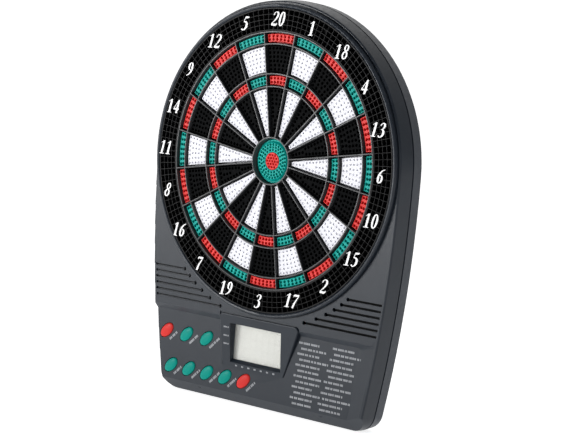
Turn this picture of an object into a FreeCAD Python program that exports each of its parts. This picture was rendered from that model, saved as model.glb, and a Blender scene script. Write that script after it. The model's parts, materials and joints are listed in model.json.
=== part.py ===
import FreeCAD, Part
import math
import os
import re

import Sketcher
from FreeCAD import Placement, Rotation, Vector

# Electronic dartboard for soft-tip darts, millimetres.
# Frame: X to the right facing the board, +Y into the wall, +Z up.  The origin lies on the back
# plane, straight behind the bull.  "Depth" below is the distance in front of the back plane, so a
# point at depth d has y = -d.

DRIVING = (
    # alias, value, what it is
    ("span", 200.0, "half the width of tools that cut right across"),
    ("past", 1.0, "how far a cutting tool runs past the faces it cuts"),
    ("bite", 0.5, "how far joined pieces run into each other"),
    ("play", 0.3, "gap between pieces that lie against each other"),
    ("field_radius", 118.0, "outer wire of the doubles"),
    ("double_inner", 107.0, "inner wire of the doubles"),
    ("triple_outer", 79.8, "outer wire of the triples"),
    ("triple_inner", 68.2, "inner wire of the triples"),
    ("bull_ring", 21.6, "wire around the outer bull"),
    ("outer_bull", 17.0, "face of the outer bull"),
    ("bull_shoulder", 20.4, "lower shoulder around that face"),
    ("shoulder_drop", 2.3, "how far the shoulder lies behind the face"),
    ("inner_bull", 7.9, "face of the inner bull"),
    ("inner_bull_gap", 0.4, "gap around the inner bull"),
    ("inner_bull_lip", 1.8, "how far the inner bull's lip stands out"),
    ("lip_headroom", 1.3, "room in front of the inner bull's lip"),
    ("half_step", 9.0, "half the angle of one number, degrees"),
    ("web", 1.4, "thickness of the wires"),
    ("face_gap", 1.2, "gap beside a segment's face"),
    ("lip_gap", 0.35, "gap beside a segment's retaining lip"),
    ("spider_top", 34.5, "depth of the wires' front edge"),
    ("spider_foot", 26.0, "depth of the wires' rear edge"),
    ("flange_front", 24.9, "front of the spider's mounting flange"),
    ("flange_back", 23.2, "rear of the spider's mounting flange"),
    ("flange_radius", 125.8, "outside of the spider's mounting flange"),
    ("segment_face", 31.7, "depth of the segment faces"),
    ("lip_front", 25.6, "front of the retaining lips"),
    ("lip_back", 24.4, "rear of the retaining lips"),
    ("ring_inner", 119.0, "inside of the number ring"),
    ("ring_outer", 139.8, "outside of the number ring"),
    ("ring_floor", 27.0, "front of the number ring's floor"),
    ("ring_wall", 1.2, "walls of the number ring"),
    ("lattice", 0.7, "thickness of the number ring's lattice"),
    ("lattice_drop", 0.3, "how far the lattice lies behind the ring's walls"),
    ("ring_post", 3.2, "radius of the number ring's screw posts"),
    ("ring_post_high", 4.0, "height of those posts"),
    ("collar_inner", 140.2, "bore of the housing's collar"),
    ("collar_wall", 2.0, "wall of the housing's collar"),
    ("collar_back", 23.0, "rear of the housing's collar"),
    ("ledge_inner", 126.2, "inside of the ledge that carries the number ring"),
    ("ledge_front", 25.0, "front of that ledge"),
    ("rim_outer", 143.9, "outside of the raised rim"),
    ("rim_top", 35.0, "crest of the raised rim"),
    ("rim_round", 1.6, "rounding of the raised rim"),
    ("rim_groove", 1.0, "groove outside the raised rim"),
    ("wall", 2.2, "wall of both shells"),
    ("seam", 14.0, "depth of the joint between the shells"),
    ("seam_gap", 1.0, "shadow gap at that joint"),
    ("tongue", 0.9, "thickness of the tongue inside that joint"),
    ("tongue_long", 1.6, "how far the tongue reaches into the rear shell"),
    ("face", 31.0, "depth of the front face"),
    ("front_draft", 1.5, "how far the front face is drawn in"),
    ("rear_draft", 1.0, "how far the back is drawn in"),
    ("top_radius", 148.0, "round top of the housing at the seam"),
    ("side_radius", 1133.0, "long arcs of the two sides"),
    ("corner_radius", 19.0, "rounded bottom corners"),
    ("bottom", 232.0, "drop of the bottom edge below the bull"),
    ("edge_round", 1.6, "rounding of the outer edges"),
    ("chin_start", 216.5, "where the sloping chin leaves the front face"),
    ("chin_slope", 54.0, "angle of the chin from the horizontal, degrees"),
    ("louvre_circle", 151.0, "circle on which the louvres begin"),
    ("louvre_first", 113.4, "drop of the first louvre"),
    ("louvre_pitch", 5.72, "distance between louvres"),
    ("louvre_half", 1.1, "half the width of a louvre"),
    ("louvre_depth", 1.5, "how deep the louvres are cut"),
    ("louvre_hole", 1.8, "radius of the sound hole at a louvre's end"),
    ("louvre_rim", 3.0, "width left between the louvres and the side"),
    ("tray_floor", 27.0, "depth of the control panel's floor"),
    ("tray_ceiling", 25.0, "rear of the control panel's floor"),
    ("tray_top", 150.5, "drop of the control panel's upper edge"),
    ("tray_slope", 4.8, "width of its upper slope"),
    ("tray_corner", 5.0, "rounded corners of the control panel"),
    ("tray_rim", 2.4, "rim left beside the control panel"),
    ("tray_past", 6.0, "how far it runs out past the left side"),
    ("tray_edge", 1.2, "rounding of its open left edge"),
    ("right_slope", 15.5, "width of its right slope"),
    ("hood_top", 31.9, "crest of the display hood"),
    ("hood_high", 147.5, "drop of the hood's upper edge"),
    ("hood_low", 203.0, "drop of the hood's lower edge"),
    ("hood_upper_left", 51.0, "hood's upper left corner"),
    ("hood_upper_right", 47.0, "hood's upper right corner"),
    ("hood_lower_left", 47.0, "hood's lower left corner"),
    ("hood_lower_right", 26.0, "hood's lower right corner"),
    ("hood_corner", 4.0, "rounded corners of the hood"),
    ("hood_round", 1.0, "rounding of the hood's upper edges"),
    ("hood_groove", 1.1, "width of the groove above and to the right of the hood"),
    ("groove_deep", 1.1, "depth of that groove"),
    ("groove_end", 197.0, "drop of that groove's lower end"),
    ("window_left", 37.3, "left edge of the display window"),
    ("window_right", 25.0, "right edge of the display window"),
    ("window_high", 156.4, "drop of the window's upper edge"),
    ("window_low", 195.0, "drop of the window's lower edge"),
    ("window_flare", 0.6, "how far the window widens to the front"),
    ("sill", 2.5, "how far its sill runs down to the front"),
    ("sill_back", 189.5, "drop of the sill's rear edge"),
    ("reveal", 0.9, "how far the window narrows to the rear"),
    ("well_wall", 4.2, "wall around the display well"),
    ("well_back", 19.0, "rear of that wall"),
    ("display_left", 39.3, "left edge of the display's pieces"),
    ("display_right", 27.3, "right edge of the display's pieces"),
    ("display_high", 154.8, "drop of their upper edge"),
    ("display_low", 192.2, "drop of their lower edge"),
    ("frame_bar", 3.9, "width of the display frame's bars"),
    ("strip_width", 2.0, "width of the contact strips"),
    ("lens_front", 23.8, "front of the display lens"),
    ("lens_back", 22.6, "rear of the display lens"),
    ("glass_front", 22.45, "front of the display glass"),
    ("glass_back", 20.35, "rear of the display glass"),
    ("board_front", 17.6, "front of the circuit board"),
    ("board_back", 16.0, "rear of the circuit board"),
    ("button_long", 9.3, "long half-axis of a button"),
    ("button_short", 5.2, "short half-axis of a button"),
    ("button_tilt", 40.0, "tilt of the buttons, degrees"),
    ("button_top", 28.6, "front of the buttons"),
    ("button_gap", 0.7, "gap around a button"),
    ("button_lip", 1.1, "how far a button's lip stands out"),
    ("button_crown", 0.9, "rounding of a button's front edge"),
    ("button_foot", 23.6, "rear of a button's lip"),
    ("button_lip_front", 24.7, "front of a button's lip"),
    ("button_stem", 3.0, "radius of a button's stem"),
    ("stem_back", 22.3, "rear of a button's stem"),
    ("pad_edge", 7.5, "width of the pad around the middles of the buttons"),
    ("pad_front", 18.6, "front of the button pad's sheet"),
    ("dome_top", 21.0, "front of its domes"),
    ("dome_wide", 5.0, "radius of a dome's foot"),
    ("dome_narrow", 3.4, "radius of a dome's top"),
    ("upper_row", 176.3, "drop of the upper row of buttons"),
    ("lower_row", 208.8, "drop of the lower row of buttons"),
    ("upper_start", 121.2, "first button of the upper row, left of the centre"),
    ("upper_pitch", 26.0, "pitch of the upper row"),
    ("lower_start", 112.7, "first button of the lower row, left of the centre"),
    ("lower_pitch", 23.3, "pitch of the lower row"),
    ("mat_back", 21.7, "rear of the rubber mat"),
    ("film", 0.25, "thickness of each membrane film"),
    ("mat_radius", 125.5, "radius of the mat and the films"),
    ("tail_middle", -52.0, "middle of the films' connector tail"),
    ("tail_half", 7.0, "half the width of the tail"),
    ("tail_end", 164.5, "drop of the tail's end"),
    ("tail_root", 30.0, "how far the tail runs up over the disc"),
    ("plate", 2.2, "thickness of the backing plate"),
    ("plate_radius", 139.5, "radius of the backing plate"),
    ("plate_circle", 132.0, "circle of the backing plate's screws"),
    ("boss_circle", 133.5, "circle of the upper housing screws"),
    ("speaker_x", 112.0, "speaker, right of the centre"),
    ("speaker_drop", 128.0, "speaker, below the centre"),
    ("chip_wide", 9.0, "radius of the controller's resin cap at the board"),
    ("chip_high", 2.0, "height of that cap"),
    ("can_radius", 3.2, "radius of a capacitor"),
    ("can_high", 9.0, "height of a capacitor"),
    ("socket_high", 5.5, "height of the tail's connector"),
    ("speaker_radius", 16.0, "radius of the speaker"),
    ("speaker_back", 26.0, "rear of the speaker's basket"),
    ("magnet_back", 21.0, "rear of the speaker's magnet"),
    ("seat_wall", 1.5, "wall of the speaker's seat"),
    ("cell_radius", 7.1, "radius of an AA cell"),
    ("cell_length", 49.5, "length of an AA cell's can"),
    ("cell_pitch", 15.2, "distance between the cells"),
    ("cell_depth", 9.7, "depth of the cells' axes"),
    ("pack_drop", 60.0, "drop of the middle cell"),
    ("cell_tip", 2.7, "radius of a cell's terminal"),
    ("tub_end", 5.8, "room at each end of the cells"),
    ("tub_side", 1.0, "room above and below the cells"),
    ("tub_wall", 1.4, "wall of the battery box"),
    ("tub_front", 18.2, "front of the battery box"),
    ("contact_half", 5.0, "half the width of a battery contact"),
    ("spring_wide", 4.6, "radius of a spring's foot"),
    ("spring_narrow", 2.6, "radius of a spring's tip"),
    ("door_half", 34.0, "half the width of the battery door"),
    ("door_high", 33.0, "drop of the battery door's upper edge"),
    ("door_low", 92.0, "drop of the battery door's lower edge"),
    ("door_thickness", 1.8, "thickness of the battery door"),
    ("door_corner", 2.5, "rounded corners of the battery door"),
    ("door_gap", 0.3, "gap around the battery door"),
    ("door_pad", 4.0, "width of the thick border around the door"),
    ("door_inset", 0.25, "how far the door lies in front of the back plane"),
    ("notch_radius", 8.0, "finger notch below the door"),
    ("notch_deep", 1.3, "depth of the finger notch"),
    ("lead_radius", 0.6, "radius of the wires"),
    ("keyhole_x", 80.0, "hanging slots, each side of the centre"),
    ("keyhole_rise", 62.0, "hanging slots, above the centre"),
    ("keyhole_radius", 4.0, "entry of a hanging slot"),
    ("keyhole_slot", 2.1, "half the width of its slot"),
    ("keyhole_long", 9.0, "length of its slot"),
    ("prop_x", 62.0, "props behind the backing plate, each side of the centre"),
    ("prop_z", 78.0, "those props, above and below the centre"),
    ("prop_radius", 4.0, "radius of a prop"),
    ("prop_bore", 2.6, "bore of a prop"),
    ("screw_head", 1.8, "height of the screws' heads"),
    ("shell_head", 2.9, "radius of a housing screw's head"),
    ("shell_shank", 1.42, "radius of a housing screw"),
    ("shell_seat", 8.0, "depth that the housing screws' heads are driven to"),
    ("shell_tip", 21.5, "depth of the housing screws' tips"),
    ("plate_head", 3.0, "radius of a backing plate screw's head"),
    ("plate_shank", 1.38, "radius of a backing plate screw"),
    ("plate_tip", 29.0, "depth of the backing plate screws' tips"),
    ("board_head", 2.6, "radius of a circuit board screw's head"),
    ("board_shank", 1.2, "radius of a circuit board screw"),
    ("board_tip", 23.0, "depth of the circuit board screws' tips"),
    ("front_boss", 3.8, "radius of the front shell's screw bosses"),
    ("boss_back", 12.1, "rear of those bosses"),
    ("rear_boss", 4.6, "radius of the rear shell's screw bosses"),
    ("boss_front", 12.0, "front of those bosses"),
    ("head_recess", 3.4, "radius of the recess over a screw's head"),
    ("clear_hole", 1.7, "radius of a hole that a screw passes through"),
    ("spacer", 3.5, "radius of the spacers in front of the backing plate"),
    ("board_post", 3.0, "radius of the circuit board's posts"),
    ("plate_notch", 4.4, "radius of the holes for the housing's bosses"),
)

NUMBERS = (20, 1, 18, 4, 13, 6, 10, 15, 2, 17, 3, 19, 7, 16, 8, 11, 14, 9, 12, 5)
STEP = 18.0
LOUVRES = 6
PLATE_SCREW_ANGLES = (22.5, 67.5, 112.5, 157.5, 202.5, 270.0, 337.5)
UPPER_SCREW_ANGLES = (0.0, 45.0, 90.0, 135.0, 180.0)
LOWER_SCREWS = (("112", "-160"), ("-112", "-160"), ("75", "-221.5"), ("-75", "-221.5"))
BOARD_SCREWS = (("-118", "-193"), ("-52", "-193"), ("8", "-210"), ("36.5", "-158.5"))
BOARD_OUTLINE = (("-126", "-166"), ("-62", "-166"), ("-62", "-154"), ("42", "-154"),
                 ("42", "-216"), ("-114", "-216"), ("-124", "-196"))
CHIP_PLACE = ("-20", "-178")
CAPACITOR_PLACES = (("14", "-205"), ("24", "-205"))
LEAD_PITCH = 2.5
FILM_BACK = "(mat_back - 3 * film)"
TRAY_FOOT = "bottom + corner_radius"
PLATE_PILOT = "plate_shank + 0.02"
SHELL_PILOT = "shell_shank + 0.03"
BOARD_PILOT = "board_shank + 0.05"
TO_FRONT = Rotation(Vector(1, 0, 0), 90)
TO_SIDE = Rotation(Vector(0, 1, 0), Vector(0, 0, 1), Vector(1, 0, 0), "ZXY")

doc = FreeCAD.newDocument("dartboard")
sheet = doc.addObject("Spreadsheet::Sheet", "sheet")
for row, (alias, number, note) in enumerate(DRIVING, start=1):
    sheet.set(f"A{row}", note)
    sheet.set(f"B{row}", str(number))
    sheet.setAlias(f"B{row}", alias)
doc.recompute()
ALIASES = {alias for alias, number, note in DRIVING}
nodes = {}


# ---- helpers: sizes are texts such as "face - wall", bound to the sheet's cells ----

def bound(text):
    """The text with each alias written as a cell of the sheet."""
    return re.sub(r"[a-z_]+", lambda word: "sheet." + word[0] if word[0] in ALIASES else word[0], text)


def value(text):
    """The number that a text stands for now."""
    return float(sheet.evalExpression(bound(text)))


def bind(piece, prop, text):
    piece.setExpression(prop, bound(text))


def place(piece, x, depth, z):
    for axis, text in (("x", x), ("y", f"-({depth})"), ("z", z)):
        bind(piece, f"Placement.Base.{axis}", text)


def block(name, left, right, back, front, low, high):
    piece = doc.addObject("Part::Box", name)
    bind(piece, "Length", f"({right}) - ({left})")
    bind(piece, "Width", f"({front}) - ({back})")
    bind(piece, "Height", f"({high}) - ({low})")
    place(piece, left, front, low)
    return piece


def cylinder(name, radius, back, front, x="0", z="0"):
    """A cylinder along the depth, from back to front."""
    piece = doc.addObject("Part::Cylinder", name)
    piece.Placement = Placement(Vector(), TO_FRONT)
    bind(piece, "Radius", radius)
    bind(piece, "Height", f"({front}) - ({back})")
    place(piece, x, back, z)
    return piece


def cone(name, back_radius, front_radius, back, front, x="0", z="0"):
    piece = doc.addObject("Part::Cone", name)
    piece.Placement = Placement(Vector(), TO_FRONT)
    bind(piece, "Radius1", back_radius)
    bind(piece, "Radius2", front_radius)
    bind(piece, "Height", f"({front}) - ({back})")
    place(piece, x, back, z)
    return piece


def rod(name, radius, left, right, depth, z):
    """A cylinder along X."""
    piece = doc.addObject("Part::Cylinder", name)
    piece.Placement = Placement(Vector(), Rotation(Vector(0, 1, 0), 90))
    bind(piece, "Radius", radius)
    bind(piece, "Height", f"({right}) - ({left})")
    place(piece, left, depth, z)
    return piece


def fuse(name, pieces):
    piece = doc.addObject("Part::MultiFuse", name)
    piece.Shapes = list(pieces)
    return piece


def common(name, pieces):
    piece = doc.addObject("Part::MultiCommon", name)
    piece.Shapes = list(pieces)
    return piece


def cut(name, base, tools):
    piece = doc.addObject("Part::Cut", name)
    piece.Base = base
    piece.Tool = tools[0] if len(tools) == 1 else fuse(name + "_tools", tools)
    return piece


def group(name, pieces):
    """Separate solids kept as one node."""
    piece = doc.addObject("Part::Compound", name)
    piece.Links = list(pieces)
    return piece


def tube(name, outer, inner, back, front, x="0", z="0"):
    bore = cylinder(name + "_bore", inner, f"({back}) - past", f"({front}) + past", x, z)
    return cut(name, cylinder(name + "_rod", outer, back, front, x, z), [bore])


def oval(name, long_half, short_half, back, front, x, z):
    """An elliptic prism whose long axis is tilted like the buttons."""
    ring = doc.addObject("Part::Ellipse", name + "_ring")
    ring.Placement = Placement(Vector(), TO_FRONT * Rotation(Vector(0, 0, 1), value("button_tilt")))
    bind(ring, "MajorRadius", long_half)
    bind(ring, "MinorRadius", short_half)
    place(ring, x, back, z)
    return extrude(name, ring, f"({front}) - ({back})")


def extrude(name, outline, length, along=Vector(0, -1, 0)):
    piece = doc.addObject("Part::Extrusion", name)
    piece.Base = outline
    piece.DirMode = "Custom"
    piece.Dir = along
    piece.Solid = True
    bind(piece, "LengthFwd", length)
    return piece


def loft(name, sections):
    piece = doc.addObject("Part::Loft", name)
    piece.Sections = sections
    piece.Solid = True
    piece.Ruled = True
    return piece


def facing_sketch(name, depth):
    """A sketch in a plane parallel to the wall: its x is X and its y is Z."""
    drawing = doc.addObject("Sketcher::SketchObject", name)
    drawing.Placement = Placement(Vector(), TO_FRONT)
    place(drawing, "0", depth, "0")
    return drawing


def pin(drawing, kind, item, text, name):
    """Adds a named dimension and binds it to the sheet."""
    drawing.addConstraint(Sketcher.Constraint(kind, *item, value(text)))
    drawing.renameConstraint(drawing.ConstraintCount - 1, name)
    bind(drawing, "Constraints." + name, text)


def side_sketch(name, x):
    """A sketch in a plane square to X: its x is Y and its y is Z."""
    drawing = doc.addObject("Sketcher::SketchObject", name)
    drawing.Placement = Placement(Vector(), TO_SIDE)
    place(drawing, x, "0", "0")
    return drawing


def polygon(drawing, corners):
    """Straight lines from corner to corner; each corner is a pair of texts."""
    spots = [Vector(value(x), value(z), 0) for x, z in corners]
    for index, spot in enumerate(spots):
        drawing.addGeometry(Part.LineSegment(spot, spots[(index + 1) % len(spots)]), False)
    for index, (x, z) in enumerate(corners):
        after = (index + 1) % len(corners)
        drawing.addConstraint(Sketcher.Constraint("Coincident", index, 2, after, 1))
        pin(drawing, "DistanceX", (-1, 1, index, 1), x, f"across{index}")
        pin(drawing, "DistanceY", (-1, 1, index, 1), z, f"up{index}")
    return drawing


def shell_outline(name, depth, inset):
    """Outline of the housing drawn in by inset: round top, long side arcs, rounded lower corners."""
    top, side = f"top_radius - ({inset})", f"side_radius - ({inset})"
    corner, low = f"corner_radius - ({inset})", f"({inset}) - bottom"
    r_top, r_side, r_corner, z_low = value(top), value(side), value(corner), value(low)
    x_side = r_top - r_side
    z_corner = z_low + r_corner
    turn = math.asin(-z_corner / (r_side - r_corner))
    x_corner = x_side + (r_side - r_corner) * math.cos(turn)

    def arc(x, z, radius, start, end):
        return Part.ArcOfCircle(Part.Circle(Vector(x, z, 0), Vector(0, 0, 1), radius), start, end)

    drawing = facing_sketch(name, depth)
    drawing.addGeometry([
        arc(0, 0, r_top, 0, math.pi),
        arc(-x_side, 0, r_side, math.pi, math.pi + turn),
        arc(-x_corner, z_corner, r_corner, math.pi + turn, 1.5 * math.pi),
        Part.LineSegment(Vector(-x_corner, z_low, 0), Vector(x_corner, z_low, 0)),
        arc(x_corner, z_corner, r_corner, 1.5 * math.pi, 2 * math.pi - turn),
        arc(x_side, 0, r_side, 2 * math.pi - turn, 2 * math.pi),
    ], False)
    for index in range(6):
        drawing.addConstraint(Sketcher.Constraint("Tangent", index, 2, (index + 1) % 6, 1))
    drawing.addConstraint(Sketcher.Constraint("Coincident", 0, 3, -1, 1))
    drawing.addConstraint(Sketcher.Constraint("Horizontal", 3))
    pin(drawing, "DistanceY", (-1, 1, 3, 1), low, "lower_edge")
    pin(drawing, "Radius", (0,), top, "round_top")
    for index, flank in ((1, "left"), (5, "right")):
        drawing.addConstraint(Sketcher.Constraint("PointOnObject", index, 3, -1))
        pin(drawing, "Radius", (index,), side, flank + "_side")
    for index, flank in ((2, "left"), (4, "right")):
        pin(drawing, "Radius", (index,), corner, flank + "_corner")
    return drawing


def shell_half_width(drop):
    """Half the width of the front face at a given drop below the bull."""
    inset = value("front_draft")
    radius = value("side_radius") - inset
    return value("top_radius") - inset - radius + math.sqrt(radius ** 2 - drop ** 2)


def rounded(name, piece, radius, chosen):
    """Part::Fillet of the edges that chosen() accepts."""
    doc.recompute()
    edges = [number for number, edge in enumerate(piece.Shape.Edges, start=1) if chosen(edge)]
    result = doc.addObject("Part::Fillet", name)
    result.Base = piece
    result.Edges = [(number, radius, radius) for number in edges]
    return result


def at_depth(depth):
    """Picks the edges that lie in the plane at this depth."""
    return lambda edge: abs(edge.BoundBox.YMin + depth) < 0.01 and abs(edge.BoundBox.YMax + depth) < 0.01


def crosses_depth(edge):
    """Picks the edges that run from back to front."""
    return edge.BoundBox.YLength > 1


def around(angle, circle):
    """Texts of a point on a circle about the bull."""
    return f"{circle} * cos({angle})", f"{circle} * sin({angle})"


def node(piece, label):
    piece.Label = label
    nodes[label] = piece
    return piece


# ---- the playing field ----

def sector_sides(gap, name):
    """Two blocks whose overlap is the wedge between two wires, kept clear of them by gap."""
    side = doc.addObject("Part::Box", name + "_right")
    shift = f"(field_radius / 2 + {gap})"
    bind(side, "Length", "field_radius / 2")
    bind(side, "Width", "spider_top")
    bind(side, "Height", "2 * field_radius / 2 + 5 * past")
    side.Placement = Placement(Vector(), Rotation(Vector(0, 1, 0), value("half_step")))
    place(side, f"-{shift} * cos(half_step)", "spider_top", f"{shift} * sin(half_step)")
    other = doc.addObject("Part::Mirroring", name + "_left")
    other.Source = side
    other.Normal = Vector(1, 0, 0)
    return [side, other]


def segment(name, inner, outer, outer_lip, face_sides, lip_sides):
    """One segment of the number at the top: its face and, behind the wires, its retaining lip."""
    face = tube(name + "_face", f"{outer} - web / 2 - face_gap", f"{inner} + web / 2 + face_gap",
                "lip_front - bite", "segment_face")
    lip = tube(name + "_lip", outer_lip, f"{inner} + lip_gap", "lip_back", "lip_front")
    return fuse(name, [common(name + "_front", [face] + face_sides),
                       common(name + "_rear", [lip] + lip_sides)])


def make_field():
    face_sides = sector_sides("web / 2 + face_gap", "face_side")
    lip_sides = sector_sides("lip_gap", "lip_side")
    parts = [
        segment("double", "double_inner", "field_radius", "field_radius - web / 2 - lip_gap",
                face_sides, lip_sides),
        segment("outer_single", "triple_outer", "double_inner", "double_inner - lip_gap",
                face_sides, lip_sides),
        segment("triple", "triple_inner", "triple_outer", "triple_outer - lip_gap",
                face_sides, lip_sides),
        segment("inner_single", "bull_ring", "triple_inner", "triple_inner - lip_gap",
                face_sides, lip_sides),
    ]
    for place_number, number in enumerate(NUMBERS):
        wedge = group(f"segments_{number}", parts)
        wedge.Placement = Placement(Vector(), Rotation(Vector(0, 1, 0), STEP * place_number))
        node(wedge, f"segments_{number}")


def make_bulls():
    green = fuse("green_body", [
        cylinder("green_face", "outer_bull", "lip_back", "segment_face"),
        cylinder("green_shoulder", "bull_shoulder", "lip_back", "segment_face - shoulder_drop"),
        cylinder("green_lip", "bull_ring - lip_gap", "lip_back", "lip_front"),
    ])
    bore = cylinder("green_bore", "inner_bull + inner_bull_gap", "lip_back - past", "segment_face + past")
    relief = cylinder("green_relief", "inner_bull + inner_bull_lip + bite", "lip_back - past",
                      "lip_front + lip_headroom")
    node(cut("bull_outer", green, [bore, relief]), "bull_outer")
    red = fuse("bull_inner", [
        cylinder("red_face", "inner_bull", "lip_back", "segment_face"),
        cylinder("red_lip", "inner_bull + inner_bull_lip", "lip_back", "lip_front"),
    ])
    node(red, "bull_inner")


def make_spider():
    """The wires: five rings and twenty radial webs, with the flange that holds them."""
    half = "web / 2"
    pieces = [tube(ring + "_wire", f"{ring} + {half}", f"{ring} - {half}", "spider_foot", "spider_top")
              for ring in ("double_inner", "triple_outer", "triple_inner", "bull_ring")]
    pieces.append(tube("field_wire", f"field_radius + {half}", f"field_radius - {half}",
                       "flange_back", "spider_top"))
    pieces.append(tube("flange", "flange_radius", f"field_radius - {half}", "flange_back", "flange_front"))
    bars = []
    for index in range(len(NUMBERS) // 2):
        bar = doc.addObject("Part::Box", f"web_{index}")
        angle = value("half_step") + STEP * index
        bar.Placement = Placement(Vector(), Rotation(Vector(0, 1, 0), angle))
        bind(bar, "Length", "web")
        bind(bar, "Width", "spider_top - spider_foot")
        bind(bar, "Height", "2 * field_radius")
        reach_x, reach_z = f"web / 2 * cos({angle})", f"web / 2 * sin({angle})"
        place(bar, f"-({reach_x}) - field_radius * sin({angle})", "spider_top",
              f"({reach_z}) - field_radius * cos({angle})")
        bars.append(bar)
    core = cylinder("core", "bull_ring", "spider_foot - past", "spider_top + past")
    pieces.append(cut("webs", fuse("crossed_webs", bars), [core]))
    node(fuse("spider", pieces), "spider")


def make_number_ring():
    """Ring behind the numerals: a floor with a lattice of ridges that stops stray darts."""
    pieces = [tube("ring_base", "ring_outer", "ring_inner", "ledge_front", "ring_floor")]
    pieces.append(tube("ring_inside", "ring_inner + ring_wall", "ring_inner", "ledge_front", "spider_top"))
    pieces.append(tube("ring_outside", "ring_outer", "ring_outer - ring_wall", "ledge_front", "spider_top"))
    rows = 4
    for index in range(1, rows):
        middle = f"(ring_inner + {index} / {rows} * (ring_outer - ring_inner))"
        pieces.append(tube(f"ridge_{index}", f"{middle} + lattice / 2", f"{middle} - lattice / 2",
                           "ring_floor - bite", "spider_top - lattice_drop"))
    bars = []
    for index in range(len(NUMBERS) // 2):
        angle = STEP * index
        bar = doc.addObject("Part::Box", f"cross_ridge_{index}")
        bar.Placement = Placement(Vector(), Rotation(Vector(0, 1, 0), angle))
        bind(bar, "Length", "lattice")
        bind(bar, "Width", "spider_top - lattice_drop - ring_floor + bite")
        bind(bar, "Height", "2 * (ring_outer - bite)")
        place(bar, f"-lattice / 2 * cos({angle}) - (ring_outer - bite) * sin({angle})",
              "spider_top - lattice_drop",
              f"lattice / 2 * sin({angle}) - (ring_outer - bite) * cos({angle})")
        bars.append(bar)
    inside = cylinder("ring_clear", "ring_inner + bite", "ledge_front - past", "spider_top + past")
    pieces.append(cut("cross_ridges", fuse("crossed_ridges", bars), [inside]))
    holes = []
    for index, angle in enumerate(PLATE_SCREW_ANGLES):
        x, z = around(angle, "plate_circle")
        pieces.append(cylinder(f"ring_post_{index}", "ring_post", "ring_floor - bite",
                               "ring_floor + ring_post_high", x, z))
        holes.append(cylinder(f"ring_hole_{index}", PLATE_PILOT, "ledge_front - past",
                              "ring_floor + ring_post_high - past", x, z))
    node(cut("number_ring", fuse("ring_body", pieces), holes), "number_ring")


# ---- the housing ----

def make_front_housing():
    outer = loft("front_block", [shell_outline("front_seam", "seam + seam_gap", "0"),
                                 shell_outline("front_face", "face", "front_draft")])
    outer = rounded("front_rounded", outer, value("edge_round"), at_depth(value("face")))
    chin = chin_box("chin", "0")
    body = cut("front_solid", outer, [chin])

    low_hollow = extrude("low_hollow",
                         shell_outline("hollow_outline", "seam - past", "wall + front_draft / 2"),
                         "tray_ceiling - seam + past")
    high_hollow = extrude("high_hollow",
                          shell_outline("hollow_outline_high", "seam - past", "wall + front_draft"),
                          "face - wall - seam + past")
    above = block("above_tray", "-span", "span", "0", "2 * face", "wall + past - tray_top", "span")
    hollow = cut("front_hollow", fuse("hollows", [low_hollow, common("upper_hollow", [high_hollow, above])]),
                 [chin_box("inner_chin", "wall")])
    opening = cylinder("opening", "collar_inner", "seam - past", "rim_top + past")

    mouth = tray_outline("tray_mouth", "face", "-tray_past", "tray_rim", "tray_top", TRAY_FOOT)
    floor = tray_outline("tray_floor", "tray_floor", "-tray_past", "tray_rim + right_slope",
                         "tray_top + tray_slope", TRAY_FOOT)
    tray = rounded("tray_rounded", loft("tray", [floor, mouth]), value("tray_corner"),
                   lambda edge: crosses_depth(edge) and edge.BoundBox.XMin > 0
                   and edge.BoundBox.ZMax > -value("chin_start"))
    ditch = tube("rim_ditch", "rim_outer + rim_groove", "rim_outer - bite", "face - past", "face + past")
    low_floor = at_depth(value("tray_floor"))
    panel = rounded("panel_rounded", cut("front_panel", body, [tray]), value("tray_edge"),
                    lambda edge: low_floor(edge) and edge.BoundBox.XMax < 0 and edge.BoundBox.ZLength > value("tray_corner"))
    plain = cut("front_plain", panel, [hollow, opening, ditch] + make_louvres() + make_hood_groove())

    rim = rounded("rim_rounded", tube("rim", "rim_outer", "collar_inner", "face - past", "rim_top"),
                  value("rim_round"), at_depth(value("rim_top")))
    added = [plain, make_tongue(), rim, make_hood(),
             tube("collar", "collar_inner + collar_wall", "collar_inner", "collar_back", "face - bite"),
             tube("ledge", "collar_inner + bite", "ledge_inner", "collar_back", "ledge_front"),
             block("well", "-window_left - well_wall", "window_right + well_wall", "well_back",
                   "tray_floor - bite", "-window_low", "well_wall - window_high"),
             tube("speaker_seat", "speaker_radius + play + seat_wall", "speaker_radius + play",
                  "tray_ceiling - past", "face - wall + bite", "speaker_x", "-speaker_drop")]
    holes = [make_window(),
             block("lens_pocket", "-display_left - play", "display_right + play", "well_back - past",
                   "lens_front", "-display_low - play", "play - display_high")]
    for index, (x, z) in enumerate(around(angle, "plate_circle") for angle in PLATE_SCREW_ANGLES):
        added.append(cylinder(f"spacer_{index}", "spacer", FILM_BACK, "collar_back + bite", x, z))
        holes.append(cylinder(f"spacer_hole_{index}", "clear_hole", "seam", "ledge_front + past", x, z))
    for index, (x, z, top) in enumerate(housing_screw_places()):
        added.append(cylinder(f"front_boss_{index}", "front_boss", "boss_back", top, x, z))
        holes.append(cylinder(f"front_boss_hole_{index}", SHELL_PILOT, "boss_back - past",
                              "shell_tip + past", x, z))
    for index, (x, z) in enumerate(BOARD_SCREWS):
        added.append(cylinder(f"board_post_{index}", "board_post", "board_front",
                              "tray_ceiling + play", x, z))
        holes.append(cylinder(f"board_post_hole_{index}", BOARD_PILOT, "board_front - past",
                              "board_tip + past", x, z))
    for name, x, z in button_places():
        holes.append(oval(name + "_hole", "button_long + button_gap", "button_short + button_gap",
                          "button_foot - past", "button_top + past", x, z))
    node(cut("front_housing", fuse("front_body", added), holes), "front_housing")


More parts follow.
